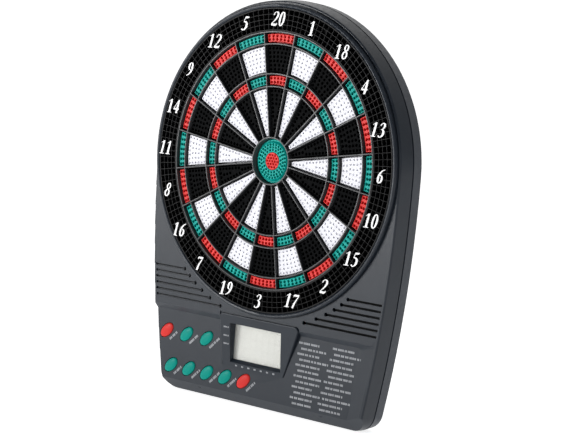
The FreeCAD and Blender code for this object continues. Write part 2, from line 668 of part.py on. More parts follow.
def make_tongue():
    """The lip inside the seam that reaches into the rear shell."""
    outside = shell_outline("tongue_outside", "seam - tongue_long", "wall - tongue")
    inside = shell_outline("tongue_inside", "seam - tongue_long - past", "wall")
    return cut("tongue_ring", extrude("tongue_outer", outside, "tongue_long + seam_gap + past"),
               [extrude("tongue_inner", inside, "tongue_long + seam_gap + 3 * past")])


def chin_box(name, inset):
    """The space in front of the chin's slope, or of a plane inset behind it."""
    start = f"(face - ({inset}) / sin(chin_slope))"
    outline = polygon(side_sketch(name + "_profile", "-span"), [
        (f"-({start} + face / tan(chin_slope))", "face - chin_start"),
        (f"-({start} - 2 * face / tan(chin_slope))", "-2 * face - chin_start"),
        (f"-({start} + 3 * face / tan(chin_slope))", "-2 * face - chin_start")])
    return extrude(name, outline, "2 * span", Vector(1, 0, 0))


def make_louvres():
    """Grooves beside the number ring on both sides, each with a sound hole at its inner end."""
    tools = []
    for index in range(LOUVRES):
        drop = value("louvre_first") + index * value("louvre_pitch")
        start = math.sqrt(value("louvre_circle") ** 2 - drop ** 2)
        end = shell_half_width(drop) - value("louvre_rim")
        z = f"-(louvre_first + {index} * louvre_pitch)"
        for side, left, right in (("right", start, end), ("left", -end, -start)):
            name = f"louvre_{side}_{index}"
            tools.append(block(name, f"{left}", f"{right}", "face - louvre_depth", "face + past",
                               f"{z} - louvre_half", f"{z} + louvre_half"))
            inner = start if side == "right" else -start
            tools.append(cylinder(name + "_hole", "louvre_hole", "face - wall - past", "face + past",
                                  f"{inner}", z))
    return tools


def tray_outline(name, depth, left, right, top, low):
    """Outline of the control panel: follows the sides of the housing, with a straight top."""
    high_drop, low_drop = value(top), value(low)
    wide, narrow = shell_half_width(high_drop), shell_half_width(low_drop)
    return polygon(facing_sketch(name, depth), [
        (f"{left} - {wide}", f"-({top})"), (f"{wide} - ({right})", f"-({top})"),
        (f"{narrow} - ({right})", f"-({low})"), (f"{left} - {narrow}", f"-({low})")])


def make_hood():
    """The raised surround of the display: a trapezium that slopes down to the panel's floor."""
    high, low, foot = "-hood_high", "-hood_low", "-tray_ceiling - bite"
    plan = extrude("hood_plan", polygon(facing_sketch("hood_outline", "tray_ceiling + bite"), [
        ("-hood_upper_left", high), ("hood_upper_right", high),
        ("hood_lower_right", low), ("-hood_lower_left", low)]), "hood_top - tray_ceiling")
    plan = rounded("hood_plan_rounded", plan, value("hood_corner"), crosses_depth)
    side = extrude("hood_side", polygon(side_sketch("hood_profile", "-span"), [
        ("-hood_top", high + " + past"), ("-tray_floor + bite", low), (foot, low),
        (foot, high + " + past")]), "2 * span", Vector(1, 0, 0))
    hood = common("hood_sharp", [plan, side])
    return rounded("hood", hood, value("hood_round"), on_hood_top)


def make_hood_groove():
    """Tools that leave a groove around the hood: one in the front face, one in the panel's floor."""
    high, low = "hood_groove - hood_high", "-hood_low"
    foot = "-tray_top - tray_slope / 2"
    tools = []
    for name, surface, top, end in (("high_groove", "face", "0", foot),
                                    ("low_groove", "tray_floor", foot, "-groove_end")):
        floor = f"{surface} - groove_deep"
        plan = extrude(name + "_plan", polygon(facing_sketch(name + "_outline", floor), [
            ("-hood_upper_left", high), ("hood_upper_right + hood_groove", high),
            ("hood_lower_right + hood_groove", low), ("-hood_lower_left", low)]), "2 * wall + past")
        band = block(name + "_band", "-span", "span", "seam", "2 * face", end, top)
        tools.append(common(name, [plan, band]))
    return tools


def on_hood_top(edge):
    """Picks the edges of the hood's sloping face, apart from its lowest one."""
    top, high, low = value("hood_top"), value("hood_high") - value("past"), value("hood_low")
    slope = (top - value("tray_floor") + value("bite")) / (low - high)
    spots = [vertex.Point for vertex in edge.Vertexes]
    near = all(abs(top + spot.y - slope * (-high - spot.z)) < 0.01 for spot in spots)
    return near and all(spot.z > 1 - low for spot in spots)


def make_window():
    """The display window: steep above and at the sides, with a sloping sill."""
    left, right = "-window_left - window_flare", "window_right + window_flare"
    high, low = "window_flare - window_high", "-window_low - sill"
    front = polygon(facing_sketch("window_front", "hood_top + past"), [
        (left, high), (right, high), (right, low), (left, low)])
    left, right = "-window_left + reveal", "window_right - reveal"
    high, low = "-window_high - reveal", "-sill_back"
    rear = polygon(facing_sketch("window_rear", "lens_back"), [
        (left, high), (right, high), (right, low), (left, low)])
    return loft("window", [rear, front])


def housing_screw_places():
    """(x, z, front of the boss) of the screws that join the two shells."""
    upper = [around(angle, "boss_circle") + ("collar_back + play",) for angle in UPPER_SCREW_ANGLES]
    return upper + [(x, z, "tray_ceiling + play") for x, z in LOWER_SCREWS]


def make_rear_housing():
    outer = loft("rear_block", [shell_outline("rear_back", "0", "rear_draft"),
                                shell_outline("rear_seam", "seam", "0")])
    outer = rounded("rear_rounded", outer, value("edge_round"), at_depth(0))
    hollow = extrude("rear_hollow", shell_outline("rear_inside", "wall", "wall + rear_draft / 2"),
                     "seam")
    rebate = extrude("rebate", shell_outline("rebate_outline", "seam - tongue_long - 0.1",
                                             "wall - tongue - 0.15"), "tongue_long + past")
    left, right = "-cell_length / 2 - tub_end", "cell_length / 2 + tub_end"
    low = "-pack_drop - 1.5 * cell_pitch - tub_side"
    high = "1.5 * cell_pitch + tub_side - pack_drop"
    tub = block("tub", f"{left} - tub_wall", f"{right} + tub_wall", "past", "tub_front",
                f"{low} - tub_wall", f"{high} + tub_wall")
    pad = block("door_pad", "-door_half - door_pad", "door_half + door_pad", "past", "2 * wall",
                "-door_low - door_pad", "door_pad - door_high")
    added = [cut("rear_tray", outer, [hollow, rebate]), tub, pad]
    holes = [block("tub_inside", left, right, "-past", "tub_front - tub_wall", low, high),
             block("door_recess", "-door_half - door_gap", "door_half + door_gap", "-past",
                   "door_thickness + door_gap", "-door_low - door_gap", "door_gap - door_high"),
             cylinder("finger_notch", "notch_radius", "-past", "notch_deep", "0", "-door_low - past")]
    for index, (x, z, top) in enumerate(housing_screw_places()):
        added.append(cylinder(f"rear_boss_{index}", "rear_boss", "past", "boss_front", x, z))
        holes.append(cylinder(f"rear_recess_{index}", "head_recess", "-past", "shell_seat", x, z))
        holes.append(cylinder(f"rear_hole_{index}", "clear_hole", "shell_seat - past",
                              "boss_front + past", x, z))
    props = [(side + "prop_x", end + "prop_z") for side in ("", "-") for end in ("", "-")]
    for index, (x, z) in enumerate(props):
        added.append(cylinder(f"prop_{index}", "prop_radius", "past", FILM_BACK + " - plate - 0.05", x, z))
        holes.append(cylinder(f"prop_core_{index}", "prop_bore", "wall", "face", x, z))
    for name, x in (("keyhole_left", "-keyhole_x"), ("keyhole_right", "keyhole_x")):
        holes.append(cylinder(name, "keyhole_radius", "-past", "wall + past", x, "keyhole_rise"))
        holes.append(block(name + "_slot", f"{x} - keyhole_slot", f"{x} + keyhole_slot", "-past",
                           "wall + past", "keyhole_rise", "keyhole_rise + keyhole_long"))
    node(cut("rear_housing", fuse("rear_body", added), holes), "rear_housing")


def make_battery_pack():
    door = doc.addObject("PartDesign::Body", "battery_door")
    front = [plane for plane in door.Origin.OriginFeatures if plane.Role == "XZ_Plane"][0]
    outline = door.newObject("Sketcher::SketchObject", "door_outline")
    outline.AttachmentSupport = [(front, "")]
    outline.MapMode = "FlatFace"
    polygon(outline, [("-door_half", "-door_low"), ("door_half", "-door_low"),
                      ("door_half", "-door_high"), ("-door_half", "-door_high")])
    plate = door.newObject("PartDesign::Pad", "door_plate")
    plate.Profile = outline
    bind(plate, "Length", "door_thickness")
    doc.recompute()
    edges = [f"Edge{number}" for number, edge in enumerate(plate.Shape.Edges, start=1)
             if edge.BoundBox.YLength > 1]
    corners_rounded = door.newObject("PartDesign::Fillet", "door_corners")
    corners_rounded.Base = (plate, edges)
    bind(corners_rounded, "Radius", "door_corner")
    door.Tip = corners_rounded
    place(door, "0", "door_inset", "0")
    node(door, "battery_door")

    cells, springs, contacts = [], [], []
    half, far = "cell_length / 2", "(cell_length / 2 + tub_end - 0.1)"
    for index, facing in enumerate((1, -1, 1)):
        z = f"({index} - 1) * cell_pitch - pack_drop"
        can = rod(f"can_{index}", "cell_radius", f"-({half})", half, "cell_depth", z)
        tip = (half, f"{half} + past") if facing > 0 else (f"-({half}) - past", f"-({half})")
        cells.append(fuse(f"cell_{index}", [can, rod(f"tip_{index}", "cell_tip", *tip, "cell_depth", z)]))
        for side in ("", "-"):
            ends = sorted((side + far, f"{side}({far} - play)"), key=value)
            contacts.append(block(f"contact_{index}_{side or 0}".replace("-", "1"), *ends,
                                  "cell_depth - contact_half", "cell_depth + contact_half",
                                  f"{z} - contact_half", f"{z} + contact_half"))
        spring = doc.addObject("Part::Cone", f"coil_{index}")
        spring.Placement = Placement(Vector(), Rotation(Vector(0, 1, 0), -90 * facing))
        bind(spring, "Radius1", "spring_narrow")
        bind(spring, "Radius2", "spring_wide")
        bind(spring, "Height", "tub_end - 2 * play - 0.1")
        place(spring, f"{-facing} * ({half} + play / 2)", "cell_depth", z)
        springs.append(spring)
    node(group("batteries", cells), "batteries")
    node(group("battery_springs", springs), "battery_springs")
    node(group("battery_contacts", contacts), "battery_contacts")


# ---- behind the field: mat, membrane and backing plate ----

def make_sensor_stack():
    node(cylinder("rubber_mat", "mat_radius", "mat_back", "flange_back"), "rubber_mat")
    node(cylinder("film_front", "mat_radius", "mat_back - film", "mat_back"), "film_front")
    node(cylinder("film_spacer", "mat_radius", "mat_back - 2 * film", "mat_back - film"), "film_spacer")
    tail = block("tail", "tail_middle - tail_half", "tail_middle + tail_half", FILM_BACK,
                 "mat_back - 2 * film", "-tail_end", "tail_root - mat_radius")
    disc = cylinder("film_rear_disc", "mat_radius", FILM_BACK, "mat_back - 2 * film")
    node(fuse("film_rear", [disc, tail]), "film_rear")

    disc = cylinder("plate_disc", "plate_radius", FILM_BACK + " - plate", FILM_BACK)
    holes = []
    for index, (x, z) in enumerate(around(angle, "plate_circle") for angle in PLATE_SCREW_ANGLES):
        holes.append(cylinder(f"plate_hole_{index}", "clear_hole", "seam", "mat_back", x, z))
    for index, (x, z) in enumerate(around(angle, "boss_circle") for angle in UPPER_SCREW_ANGLES):
        holes.append(cylinder(f"plate_notch_{index}", "plate_notch", "seam", "mat_back", x, z))
    node(cut("backing_plate", disc, holes), "backing_plate")


# ---- control panel ----

def button_places():
    """(name, x, z) of the eight buttons."""
    upper = [(f"button_upper_{index + 1}", f"{index} * upper_pitch - upper_start", "-upper_row")
             for index in range(3)]
    lower = [(f"button_lower_{index + 1}", f"{index} * lower_pitch - lower_start", "-lower_row")
             for index in range(5)]
    return upper + lower


def make_buttons():
    for name, x, z in button_places():
        cap = oval(name + "_cap", "button_long", "button_short", "button_foot + 0.1", "button_top", x, z)
        cap = rounded(name + "_crown", cap, value("button_crown"), at_depth(value("button_top")))
        lip = oval(name + "_lip", "button_long + button_lip", "button_short + button_lip",
                   "button_foot", "button_lip_front", x, z)
        stem = cylinder(name + "_stem", "button_stem", "stem_back", "button_foot + 0.2", x, z)
        node(fuse(name, [cap, lip, stem]), name)

    sheet_back = "board_front + 0.05"
    upper_end, lower_end = "2 * upper_pitch - upper_start", "4 * lower_pitch - lower_start"
    pieces = [block("pad_upper", "-upper_start - pad_edge", f"{upper_end} + pad_edge", sheet_back,
                    "pad_front", "-upper_row - pad_edge", "pad_edge - upper_row"),
              block("pad_lower", "-lower_start - pad_edge", f"{lower_end} + pad_edge", sheet_back,
                    "pad_front", "-lower_row - pad_edge", "pad_edge - lower_row"),
              block("pad_bridge", "-lower_start", f"{upper_end}", sheet_back, "pad_front",
                    "-lower_row", "-upper_row")]
    for name, x, z in button_places():
        pieces.append(cone(name + "_dome", "dome_wide", "dome_narrow", "pad_front - 0.1", "dome_top", x, z))
    node(fuse("button_pad", pieces), "button_pad")


def make_display():
    left, right, low, high = "-display_left", "display_right", "-display_low", "-display_high"
    node(block("display_lens", left, right, "lens_back", "lens_front", low, high), "display_lens")
    node(block("display_glass", left, right, "glass_back", "glass_front", low, high), "display_glass")
    back, front = "board_front + 0.05", "glass_back - 0.05"
    frame = block("frame_block", left, right, back, front, low, high)
    inside = block("frame_inside", f"{left} + frame_bar", f"{right} - frame_bar", f"{back} - past",
                   f"{front} + past", f"{low} + frame_bar", f"{high} - frame_bar")
    node(cut("display_frame", frame, [inside]), "display_frame")
    starts = (f"{low} + frame_bar + play", f"{high} - frame_bar - play - strip_width")
    strips = [block(f"strip_{index}", f"{left} + frame_bar + past", f"{right} - frame_bar - past",
                    back, front, start, f"{start} + strip_width")
              for index, start in enumerate(starts)]
    node(group("contact_strips", strips), "contact_strips")


def make_electronics():
    """The circuit board, the parts on it, and the speaker."""
    outline = polygon(facing_sketch("board_outline", "board_back"), BOARD_OUTLINE)
    card = extrude("card", outline, "board_front - board_back")
    holes = [cylinder(f"card_hole_{index}", "clear_hole - 0.1", "board_back - past",
                      "board_front + past", x, z)
             for index, (x, z) in enumerate(BOARD_SCREWS)]
    node(cut("main_board", card, holes), "main_board")
    node(cone("controller_chip", "chip_wide - 3", "chip_wide", "board_back - chip_high", "board_back",
              *CHIP_PLACE), "controller_chip")
    cans = [cylinder(f"can_part_{index}", "can_radius", "board_back - can_high", "board_back", x, z)
            for index, (x, z) in enumerate(CAPACITOR_PLACES)]
    node(group("capacitors", cans), "capacitors")
    node(block("tail_connector", "tail_middle - tail_half - 2", "tail_middle + tail_half + 2",
               "board_front", FILM_BACK, "-tail_end - bite", "socket_high - tail_end"), "tail_connector")
    basket = cylinder("speaker_basket", "speaker_radius", "speaker_back", "face - wall - 0.2",
                      "speaker_x", "-speaker_drop")
    magnet = cylinder("speaker_magnet", "speaker_radius / 2", "magnet_back", "speaker_back + 0.2",
                      "speaker_x", "-speaker_drop")
    node(fuse("speaker", [basket, magnet]), "speaker")


def lead(name, route):
    """A wire of straight runs with round joints; each point is (x, depth, z)."""
    spots = [Vector(x, -depth, z) for x, depth, z in route]
    pieces = []
    for index, (start, end) in enumerate(zip(spots, spots[1:])):
        run = doc.addObject("Part::Cylinder", f"{name}_run_{index}")
        bind(run, "Radius", "lead_radius")
        run.Height = (end - start).Length
        run.Placement = Placement(start, Rotation(Vector(0, 0, 1), end - start))
        pieces.append(run)
    for index, spot in enumerate(spots[1:-1]):
        knee = doc.addObject("Part::Sphere", f"{name}_knee_{index}")
        bind(knee, "Radius", "lead_radius")
        knee.Placement = Placement(spot, Rotation())
        pieces.append(knee)
    return fuse(name, pieces)


def make_leads():
    """Two wires from the battery box and two from the speaker, all to the circuit board."""
    end = value("board_back") - 0.7
    battery, speaker = [], []
    for index in range(2):
        shift = LEAD_PITCH * index
        battery.append(lead(f"battery_wire_{index}", [
            (33 + shift, 8, -74), (37 + shift, 9, -100),
            (36 + shift, 11, -150), (34 + shift, end, -176)]))
        speaker.append(lead(f"speaker_wire_{index}", [
            (104, 24 - shift, -136), (96, 20, -146 - shift),
            (60, 12, -166 - shift), (40, end, -172 - shift)]))
    node(group("battery_leads", battery), "battery_leads")
    node(group("speaker_leads", speaker), "speaker_leads")


# ---- fasteners ----

def screw(name, x, z, seat, head, shank, tip):
    """A pan-head screw driven from behind, its head resting on the seat."""
    return fuse(name, [cylinder(name + "_head", head, f"{seat} - screw_head", seat, x, z),
                       cylinder(name + "_shank", shank, f"{seat} - 0.1", tip, x, z)])


def make_fasteners():
    shells = [screw(f"housing_screw_{index}", x, z, "shell_seat", "shell_head", "shell_shank", "shell_tip")
              for index, (x, z, top) in enumerate(housing_screw_places())]
    node(group("housing_screws", shells), "housing_screws")
    plates = [screw(f"plate_screw_{index}", *around(angle, "plate_circle"), FILM_BACK + " - plate",
                    "plate_head", "plate_shank", "plate_tip")
              for index, angle in enumerate(PLATE_SCREW_ANGLES)]
    node(group("plate_screws", plates), "plate_screws")
    cards = [screw(f"board_screw_{index}", x, z, "board_back", "board_head", "board_shank", "board_tip")
             for index, (x, z) in enumerate(BOARD_SCREWS)]
    node(group("board_screws", cards), "board_screws")


def main():
    make_field()
    make_bulls()
    make_spider()
    make_number_ring()
    make_front_housing()
    make_rear_housing()
    make_battery_pack()
    make_sensor_stack()
    make_buttons()
    make_display()
    make_electronics()
    make_leads()
    make_fasteners()
    doc.recompute()

    faults = [item.Name for item in doc.Objects if {"Invalid", "Error"} & set(item.State)]
    for label, piece in nodes.items():
        if piece.Shape.isNull() or not piece.Shape.isValid() or not piece.Shape.Solids:
            faults.append(label)
    if faults:
        raise RuntimeError("failed objects: " + ", ".join(faults))
    os.makedirs("parts", exist_ok=True)
    for label, piece in nodes.items():
        piece.Shape.exportStep(f"parts/{label}.step")
        print(f"{label}: {len(piece.Shape.Solids)} solids, {piece.Shape.Volume:.0f} mm3")
    print(len(nodes), "nodes")


main()
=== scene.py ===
import json
import math

import bmesh
import bpy
from mathutils import Matrix, Vector
from mathutils.geometry import delaunay_2d_cdt


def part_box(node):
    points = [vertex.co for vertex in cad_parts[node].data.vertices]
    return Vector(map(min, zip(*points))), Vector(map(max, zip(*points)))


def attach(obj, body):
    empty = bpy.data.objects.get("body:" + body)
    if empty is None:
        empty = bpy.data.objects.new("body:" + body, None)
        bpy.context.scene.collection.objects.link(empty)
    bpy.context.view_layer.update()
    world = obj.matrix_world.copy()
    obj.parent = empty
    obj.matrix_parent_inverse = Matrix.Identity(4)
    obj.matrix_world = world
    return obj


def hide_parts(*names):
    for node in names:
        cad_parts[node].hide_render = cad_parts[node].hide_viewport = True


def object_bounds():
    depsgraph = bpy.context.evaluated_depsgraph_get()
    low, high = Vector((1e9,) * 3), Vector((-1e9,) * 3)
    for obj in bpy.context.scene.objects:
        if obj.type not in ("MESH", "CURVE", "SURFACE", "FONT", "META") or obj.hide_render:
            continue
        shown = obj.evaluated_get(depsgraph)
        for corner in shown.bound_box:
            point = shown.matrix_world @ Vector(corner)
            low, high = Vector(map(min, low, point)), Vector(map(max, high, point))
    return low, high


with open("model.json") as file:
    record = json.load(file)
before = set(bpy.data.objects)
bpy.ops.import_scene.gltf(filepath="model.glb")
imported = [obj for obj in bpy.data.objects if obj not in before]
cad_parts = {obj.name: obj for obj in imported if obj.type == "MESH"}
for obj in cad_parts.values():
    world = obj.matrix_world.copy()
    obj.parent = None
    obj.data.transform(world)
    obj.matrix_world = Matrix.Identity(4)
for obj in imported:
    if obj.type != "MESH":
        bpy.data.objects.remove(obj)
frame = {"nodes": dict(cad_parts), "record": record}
cad_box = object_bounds()

# An electronic dartboard.  Metres in the scene; sizes below are millimetres, turned into metres by MM.
# "Depth" is the distance in front of the back plane, so depth d is y = -d.
MM = 0.001
NUMBERS = (20, 1, 18, 4, 13, 6, 10, 15, 2, 17, 3, 19, 7, 16, 8, 11, 14, 9, 12, 5)
DARK = {20, 18, 13, 10, 2, 3, 7, 8, 14, 12}
RED_BUTTONS = {"button_upper_1", "button_lower_5"}
STEP = math.radians(18)

# Radii of the middles of the round webs, and a web's width.
FIELD, DOUBLE_IN, TRIPLE_OUT, TRIPLE_IN, BULL_RING = 118.0, 107.0, 79.8, 68.2, 21.6
WEB, WEB_BEVEL = 1.4, 0.34

# Segments: gaps beside the face and the lip, depths, and holes (radii, pitch, depths).
FACE_GAP, LIP_GAP, CHAMFER = 1.2, 0.35, 0.35
FACE = -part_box("segments_20")[0].y / MM
LIP_BACK = -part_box("segments_20")[1].y / MM
LIP_FRONT = LIP_BACK + 1.2
HOLE, FINE_HOLE, HOLE_PITCH, HOLE_MARGIN, BLIND_HOLE = 1.3, 0.9, 3.95, 2.0, 1.3
MOUTH_FLARE, MOUTH_DEEP = 0.2, 0.3

# Bulls: radii, the drop to the shoulder, and rows of holes (radius, count).
OUTER_BULL, SHOULDER, SHOULDER_DROP, INNER_BULL, BULL_BORE = 17.0, 20.4, 2.3, 7.9, 8.3
BULL_ROWS = ((10.3, 18), (12.9, 24), (15.4, 29))
BULL_HOLE, EYE_HOLE, EYE_PITCH, BULL_HOLE_DEEP, EYE_CHAMFER = 1.1, 1.12, 3.1, 3.6, 0.6

# Webs: depths of their tops and feet, and of the flange below them.
SPIDER_TOP = -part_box("spider")[0].y / MM
SPIDER_FOOT, FLANGE_FRONT, FLANGE_BACK, FLANGE_OUT = 26.0, 24.9, 23.2, 125.8

# Number ring: radii, depths, lattice, and the posts over the screws.
RING_IN, RING_OUT, RING_WALL = 119.0, 139.8, 1.0
RING_BACK = -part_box("number_ring")[1].y / MM
RING_FLOOR = 27.0
LATTICE_ROWS, LATTICE_PER_NUMBER, LATTICE_RIDGE, LATTICE_DROP = 4, 7, 0.42, 0.3
POST_CIRCLE, POST, POST_HIGH = 132.0, 3.2, 4.0
POST_ANGLES = (22.5, 67.5, 112.5, 157.5, 202.5, 270.0, 337.5)

# Buttons: half lengths of the oval, its tilt, the lip, the depth of the foot, the dome and the stem.
BUTTON_LONG, BUTTON_SHORT, BUTTON_TILT, BUTTON_LIP = 9.3, 5.2, math.radians(40), 1.1
BUTTON_FOOT, BUTTON_DOME, BUTTON_STEM = 23.6, 1.7, 3.0
BUTTON_LIP_HIGH, DOME_FULL = 1.1, 0.8

# Panel: depths and heights of the hood's slope, the display's window, and lines of print.
TRAY_FLOOR = 27.0
HOOD_TOP, HOOD_FOOT, HOOD_HIGH, HOOD_LOW = 31.9, 26.5, -146.5, -203.0
WINDOW_LEFT, WINDOW_RIGHT, WINDOW_LOW, WINDOW_HIGH = -33.0, 19.0, -188.0, -160.0
WORD_GAP, BAR, BAR_GAP = 0.9, 0.7, 0.45
LIST_LINES, LIST_INDENT = 12, 3.4
LIST_COLUMNS = (((43.9, -161.3), (36.8, -218.0)), ((83.1, -160.5), (69.3, -218.2)))
SIDE_MARKS, SIDE_MARK_X = (-160.5, -168.6, -176.4), -46.2
FOOT_MARKS, FOOT_MARK_X, FOOT_MARK_Z, FOOT_MARK_PITCH = 7, -31.4, -195.6, 7.7

# Louvres: count, drops, depth, ends, and the (side, half height) of the black strips of painted shade along
# them.
LOUVRES, LOUVRE_FIRST, LOUVRE_PITCH, LOUVRE_CIRCLE, LOUVRE_BED = 6, 113.4, 5.72, 151.0, 5.5
LOUVRE_PAST_HOLE, LOUVRE_RIM = 1.2, 3.6
LOUVRE_PAINTED_SHADE = ((1, 1.0), (-1, 0.35))
SIDE_RADIUS, SIDE_CENTRE = 1131.5, 985.0

# Half the thickness of ink, how far pieces are sunk into each other, and points on a round outline.
INK, EMBED = 0.1, 0.2
ROUND, WIDE_ROUND = 96, 240

# Shells: depth and width of the joint between them, and what makes an edge crisp.
SEAM, SEAM_CUT = 14.0, 0.7
FLAT, CREASE, STEEP = math.cos(math.radians(0.6)), math.radians(9), math.radians(28)
BROAD = 40 * MM * MM


# ---- materials ----

def shader(name):
    """A new material; returns it with its tree and its surface shader."""
    material = bpy.data.materials.new(name)
    material.use_nodes = True
    tree = material.node_tree
    return material, tree, tree.nodes["Principled BSDF"]


def noise(tree, scale, detail=3.0):
    """Noise in the object's own coordinates; scale is in features per metre."""
    place = tree.nodes.new("ShaderNodeTexCoord")
    grain = tree.nodes.new("ShaderNodeTexNoise")
    grain.inputs["Scale"].default_value = scale
    grain.inputs["Detail"].default_value = detail
    tree.links.new(place.outputs["Object"], grain.inputs["Vector"])
    return grain.outputs["Fac"]


def mapped(tree, value, low, high):
    """Spreads a noise value, which stays near the middle, over low to high."""
    spread = tree.nodes.new("ShaderNodeMapRange")
    spread.inputs["From Min"].default_value = 0.3
    spread.inputs["From Max"].default_value = 0.7
    spread.inputs["To Min"].default_value = low
    spread.inputs["To Max"].default_value = high
    tree.links.new(value, spread.inputs["Value"])
    return spread.outputs["Result"]


def plastic(name, colour, rough=0.45, grain=1600.0, relief=0.00004, mottle=0.06, edge=0.10,
            coat=0.0, shine=0.3):
    """Moulded plastic: mottled colour, uneven sheen, fine surface texture and a painted highlight along
    edges.
    """
    material, tree, surface = shader(name)
    blotch = mapped(tree, noise(tree, 45.0), 1 - mottle, 1 + mottle)
    tint = tree.nodes.new("ShaderNodeVectorMath")
    tint.operation = "SCALE"
    tint.inputs[0].default_value = colour
    tree.links.new(blotch, tint.inputs["Scale"])

    # Painted highlight: where Pointiness finds an edge, the colour is mixed towards pale grey, by up to edge.
    geometry = tree.nodes.new("ShaderNodeNewGeometry")
    painted_edge_highlight = tree.nodes.new("ShaderNodeMapRange")
    painted_edge_highlight.inputs["From Min"].default_value = 0.53
    painted_edge_highlight.inputs["From Max"].default_value = 0.62
    painted_edge_highlight.inputs["To Max"].default_value = edge
    tree.links.new(geometry.outputs["Pointiness"], painted_edge_highlight.inputs["Value"])
    paler = tree.nodes.new("ShaderNodeMix")
    paler.data_type = "RGBA"
    tree.links.new(painted_edge_highlight.outputs["Result"], paler.inputs["Factor"])
    tree.links.new(tint.outputs["Vector"], paler.inputs["A"])
    # The pale grey of the painted edge highlight.
    paler.inputs["B"].default_value = (0.75, 0.75, 0.75, 1)
    tree.links.new(paler.outputs["Result"], surface.inputs["Base Color"])

    tree.links.new(mapped(tree, noise(tree, 260.0), rough - 0.06, rough + 0.06),
                   surface.inputs["Roughness"])
    bump = tree.nodes.new("ShaderNodeBump")
    bump.inputs["Strength"].default_value = 0.6
    bump.inputs["Distance"].default_value = relief
    tree.links.new(noise(tree, grain, 2.0), bump.inputs["Height"])
    tree.links.new(bump.outputs["Normal"], surface.inputs["Normal"])
    surface.inputs["Coat Weight"].default_value = coat
    surface.inputs["Coat Roughness"].default_value = 0.15
    surface.inputs["Specular IOR Level"].default_value = shine
    return material


def make_materials():
    """One material for each slot of the record, and one for the display's bars."""
    # edge sets the strength of each material's painted edge highlight.
    housing = {"grain": 2200, "edge": 0.0, "shine": 0.28}
    moulded = {"mottle": 0.03, "edge": 0.02}
    button = {"mottle": 0.02, "edge": 0.0, "shine": 0.10}
    ink = {"grain": 3000, "relief": 0.00002, "edge": 0.0}
    return {
        "housing_plastic": plastic("housing_plastic", (0.016, 0.021, 0.029), 0.34, relief=0.00003, **housing),
        "rear_plastic": plastic("rear_plastic", (0.021, 0.027, 0.038), 0.40, relief=0.00004, **housing),
        "black_plastic": plastic("black_plastic", (0.004, 0.004, 0.0045), 0.5, edge=0.02, shine=0.15),
        "spider_plastic": plastic("spider_plastic", (0.018, 0.019, 0.021), 0.36, edge=0.06, shine=0.4),
        "black_segment": plastic("black_segment", (0.0025, 0.0027, 0.0031), 0.5, edge=0.0, shine=0.02),
        "white_segment": plastic("white_segment", (0.80, 0.80, 0.85), 0.42, mottle=0.02, edge=0.0),
        "red_segment": plastic("red_segment", (0.76, 0.030, 0.026), 0.44, shine=0.2, **moulded),
        "green_segment": plastic("green_segment", (0.0, 0.37, 0.32), 0.44, shine=0.12, **moulded),
        "numeral_ink": plastic("numeral_ink", (0.95, 0.95, 0.95), 0.5, mottle=0.02, **ink),
        "legend_ink": plastic("legend_ink", (0.38, 0.39, 0.41), 0.6, mottle=0.10, **ink),
        "red_button": plastic("red_button", (0.62, 0.035, 0.030), 0.36, **button),
        "green_button": plastic("green_button", (0.0, 0.26, 0.21), 0.36, **button),
        "cell_jacket": plastic("cell_jacket", (0.03, 0.05, 0.12), 0.3, coat=0.4),
        "black_rubber": plastic("black_rubber", (0.004, 0.004, 0.004), 0.8, grain=900, relief=0.0001,
                                edge=0.0, shine=0.08),
        "grey_rubber": plastic("grey_rubber", (0.22, 0.23, 0.24), 0.7, grain=1200, relief=0.00005,
                               edge=0.0),
        "clear_film": plastic("clear_film", (0.5, 0.55, 0.55), 0.25, edge=0.0),
        "circuit_board": plastic("circuit_board", (0.05, 0.12, 0.03), 0.3, edge=0.1, coat=0.3),
        "black_resin": plastic("black_resin", (0.01, 0.01, 0.01), 0.2, grain=400, relief=0.0002,
                               coat=0.5),
        "white_plastic": plastic("white_plastic", (0.75, 0.75, 0.7), 0.4, edge=0.0),
        "lead_red": plastic("lead_red", (0.5, 0.02, 0.02), 0.35, edge=0.0),
        "lead_black": plastic("lead_black", (0.015, 0.015, 0.015), 0.35, edge=0.0),
        "spring_steel": metal("spring_steel", (0.6, 0.6, 0.58), 0.28),
        "screw_steel": metal("screw_steel", (0.28, 0.28, 0.29), 0.34),
        "can_aluminium": metal("can_aluminium", (0.7, 0.7, 0.7), 0.25),
        "backing_board": hardboard(),
        "display_glass": plastic("display_glass", (0.70, 0.695, 0.64), 0.30, grain=900, relief=0.00001,
                                 mottle=0.02, edge=0.0),
        "clear_lens": clear_lens(),
        "liquid_crystal": plastic("liquid_crystal", (0.54, 0.53, 0.49), 0.35, edge=0.0),
    }


def metal(name, colour, rough):
    """Bare or plated metal with fine rolling marks."""
    material, tree, surface = shader(name)
    surface.inputs["Base Color"].default_value = (*colour, 1)
    surface.inputs["Metallic"].default_value = 1.0
    tree.links.new(mapped(tree, noise(tree, 700.0), rough - 0.08, rough + 0.1),
                   surface.inputs["Roughness"])
    bump = tree.nodes.new("ShaderNodeBump")
    bump.inputs["Strength"].default_value = 0.3
    bump.inputs["Distance"].default_value = 0.00003
    tree.links.new(noise(tree, 2400.0), bump.inputs["Height"])
    tree.links.new(bump.outputs["Normal"], surface.inputs["Normal"])
    return material


def hardboard():
    """Pressed wood fibre."""
    material, tree, surface = shader("backing_board")
    ramp = tree.nodes.new("ShaderNodeValToRGB")
    ramp.color_ramp.elements[0].color = (0.10, 0.055, 0.028, 1)
    ramp.color_ramp.elements[1].color = (0.26, 0.16, 0.09, 1)
    tree.links.new(noise(tree, 420.0, 8.0), ramp.inputs["Fac"])
    tree.links.new(ramp.outputs["Color"], surface.inputs["Base Color"])
    surface.inputs["Roughness"].default_value = 0.75
    return material


def clear_lens():
    """Thin clear acrylic, with a faint haze."""
    material, tree, surface = shader("clear_lens")
    surface.inputs["Base Color"].default_value = (0.9, 0.93, 0.93, 1)
    surface.inputs["Alpha"].default_value = 0.10
    tree.links.new(mapped(tree, noise(tree, 90.0), 0.04, 0.12), surface.inputs["Roughness"])
    return material


# ---- shapes ----

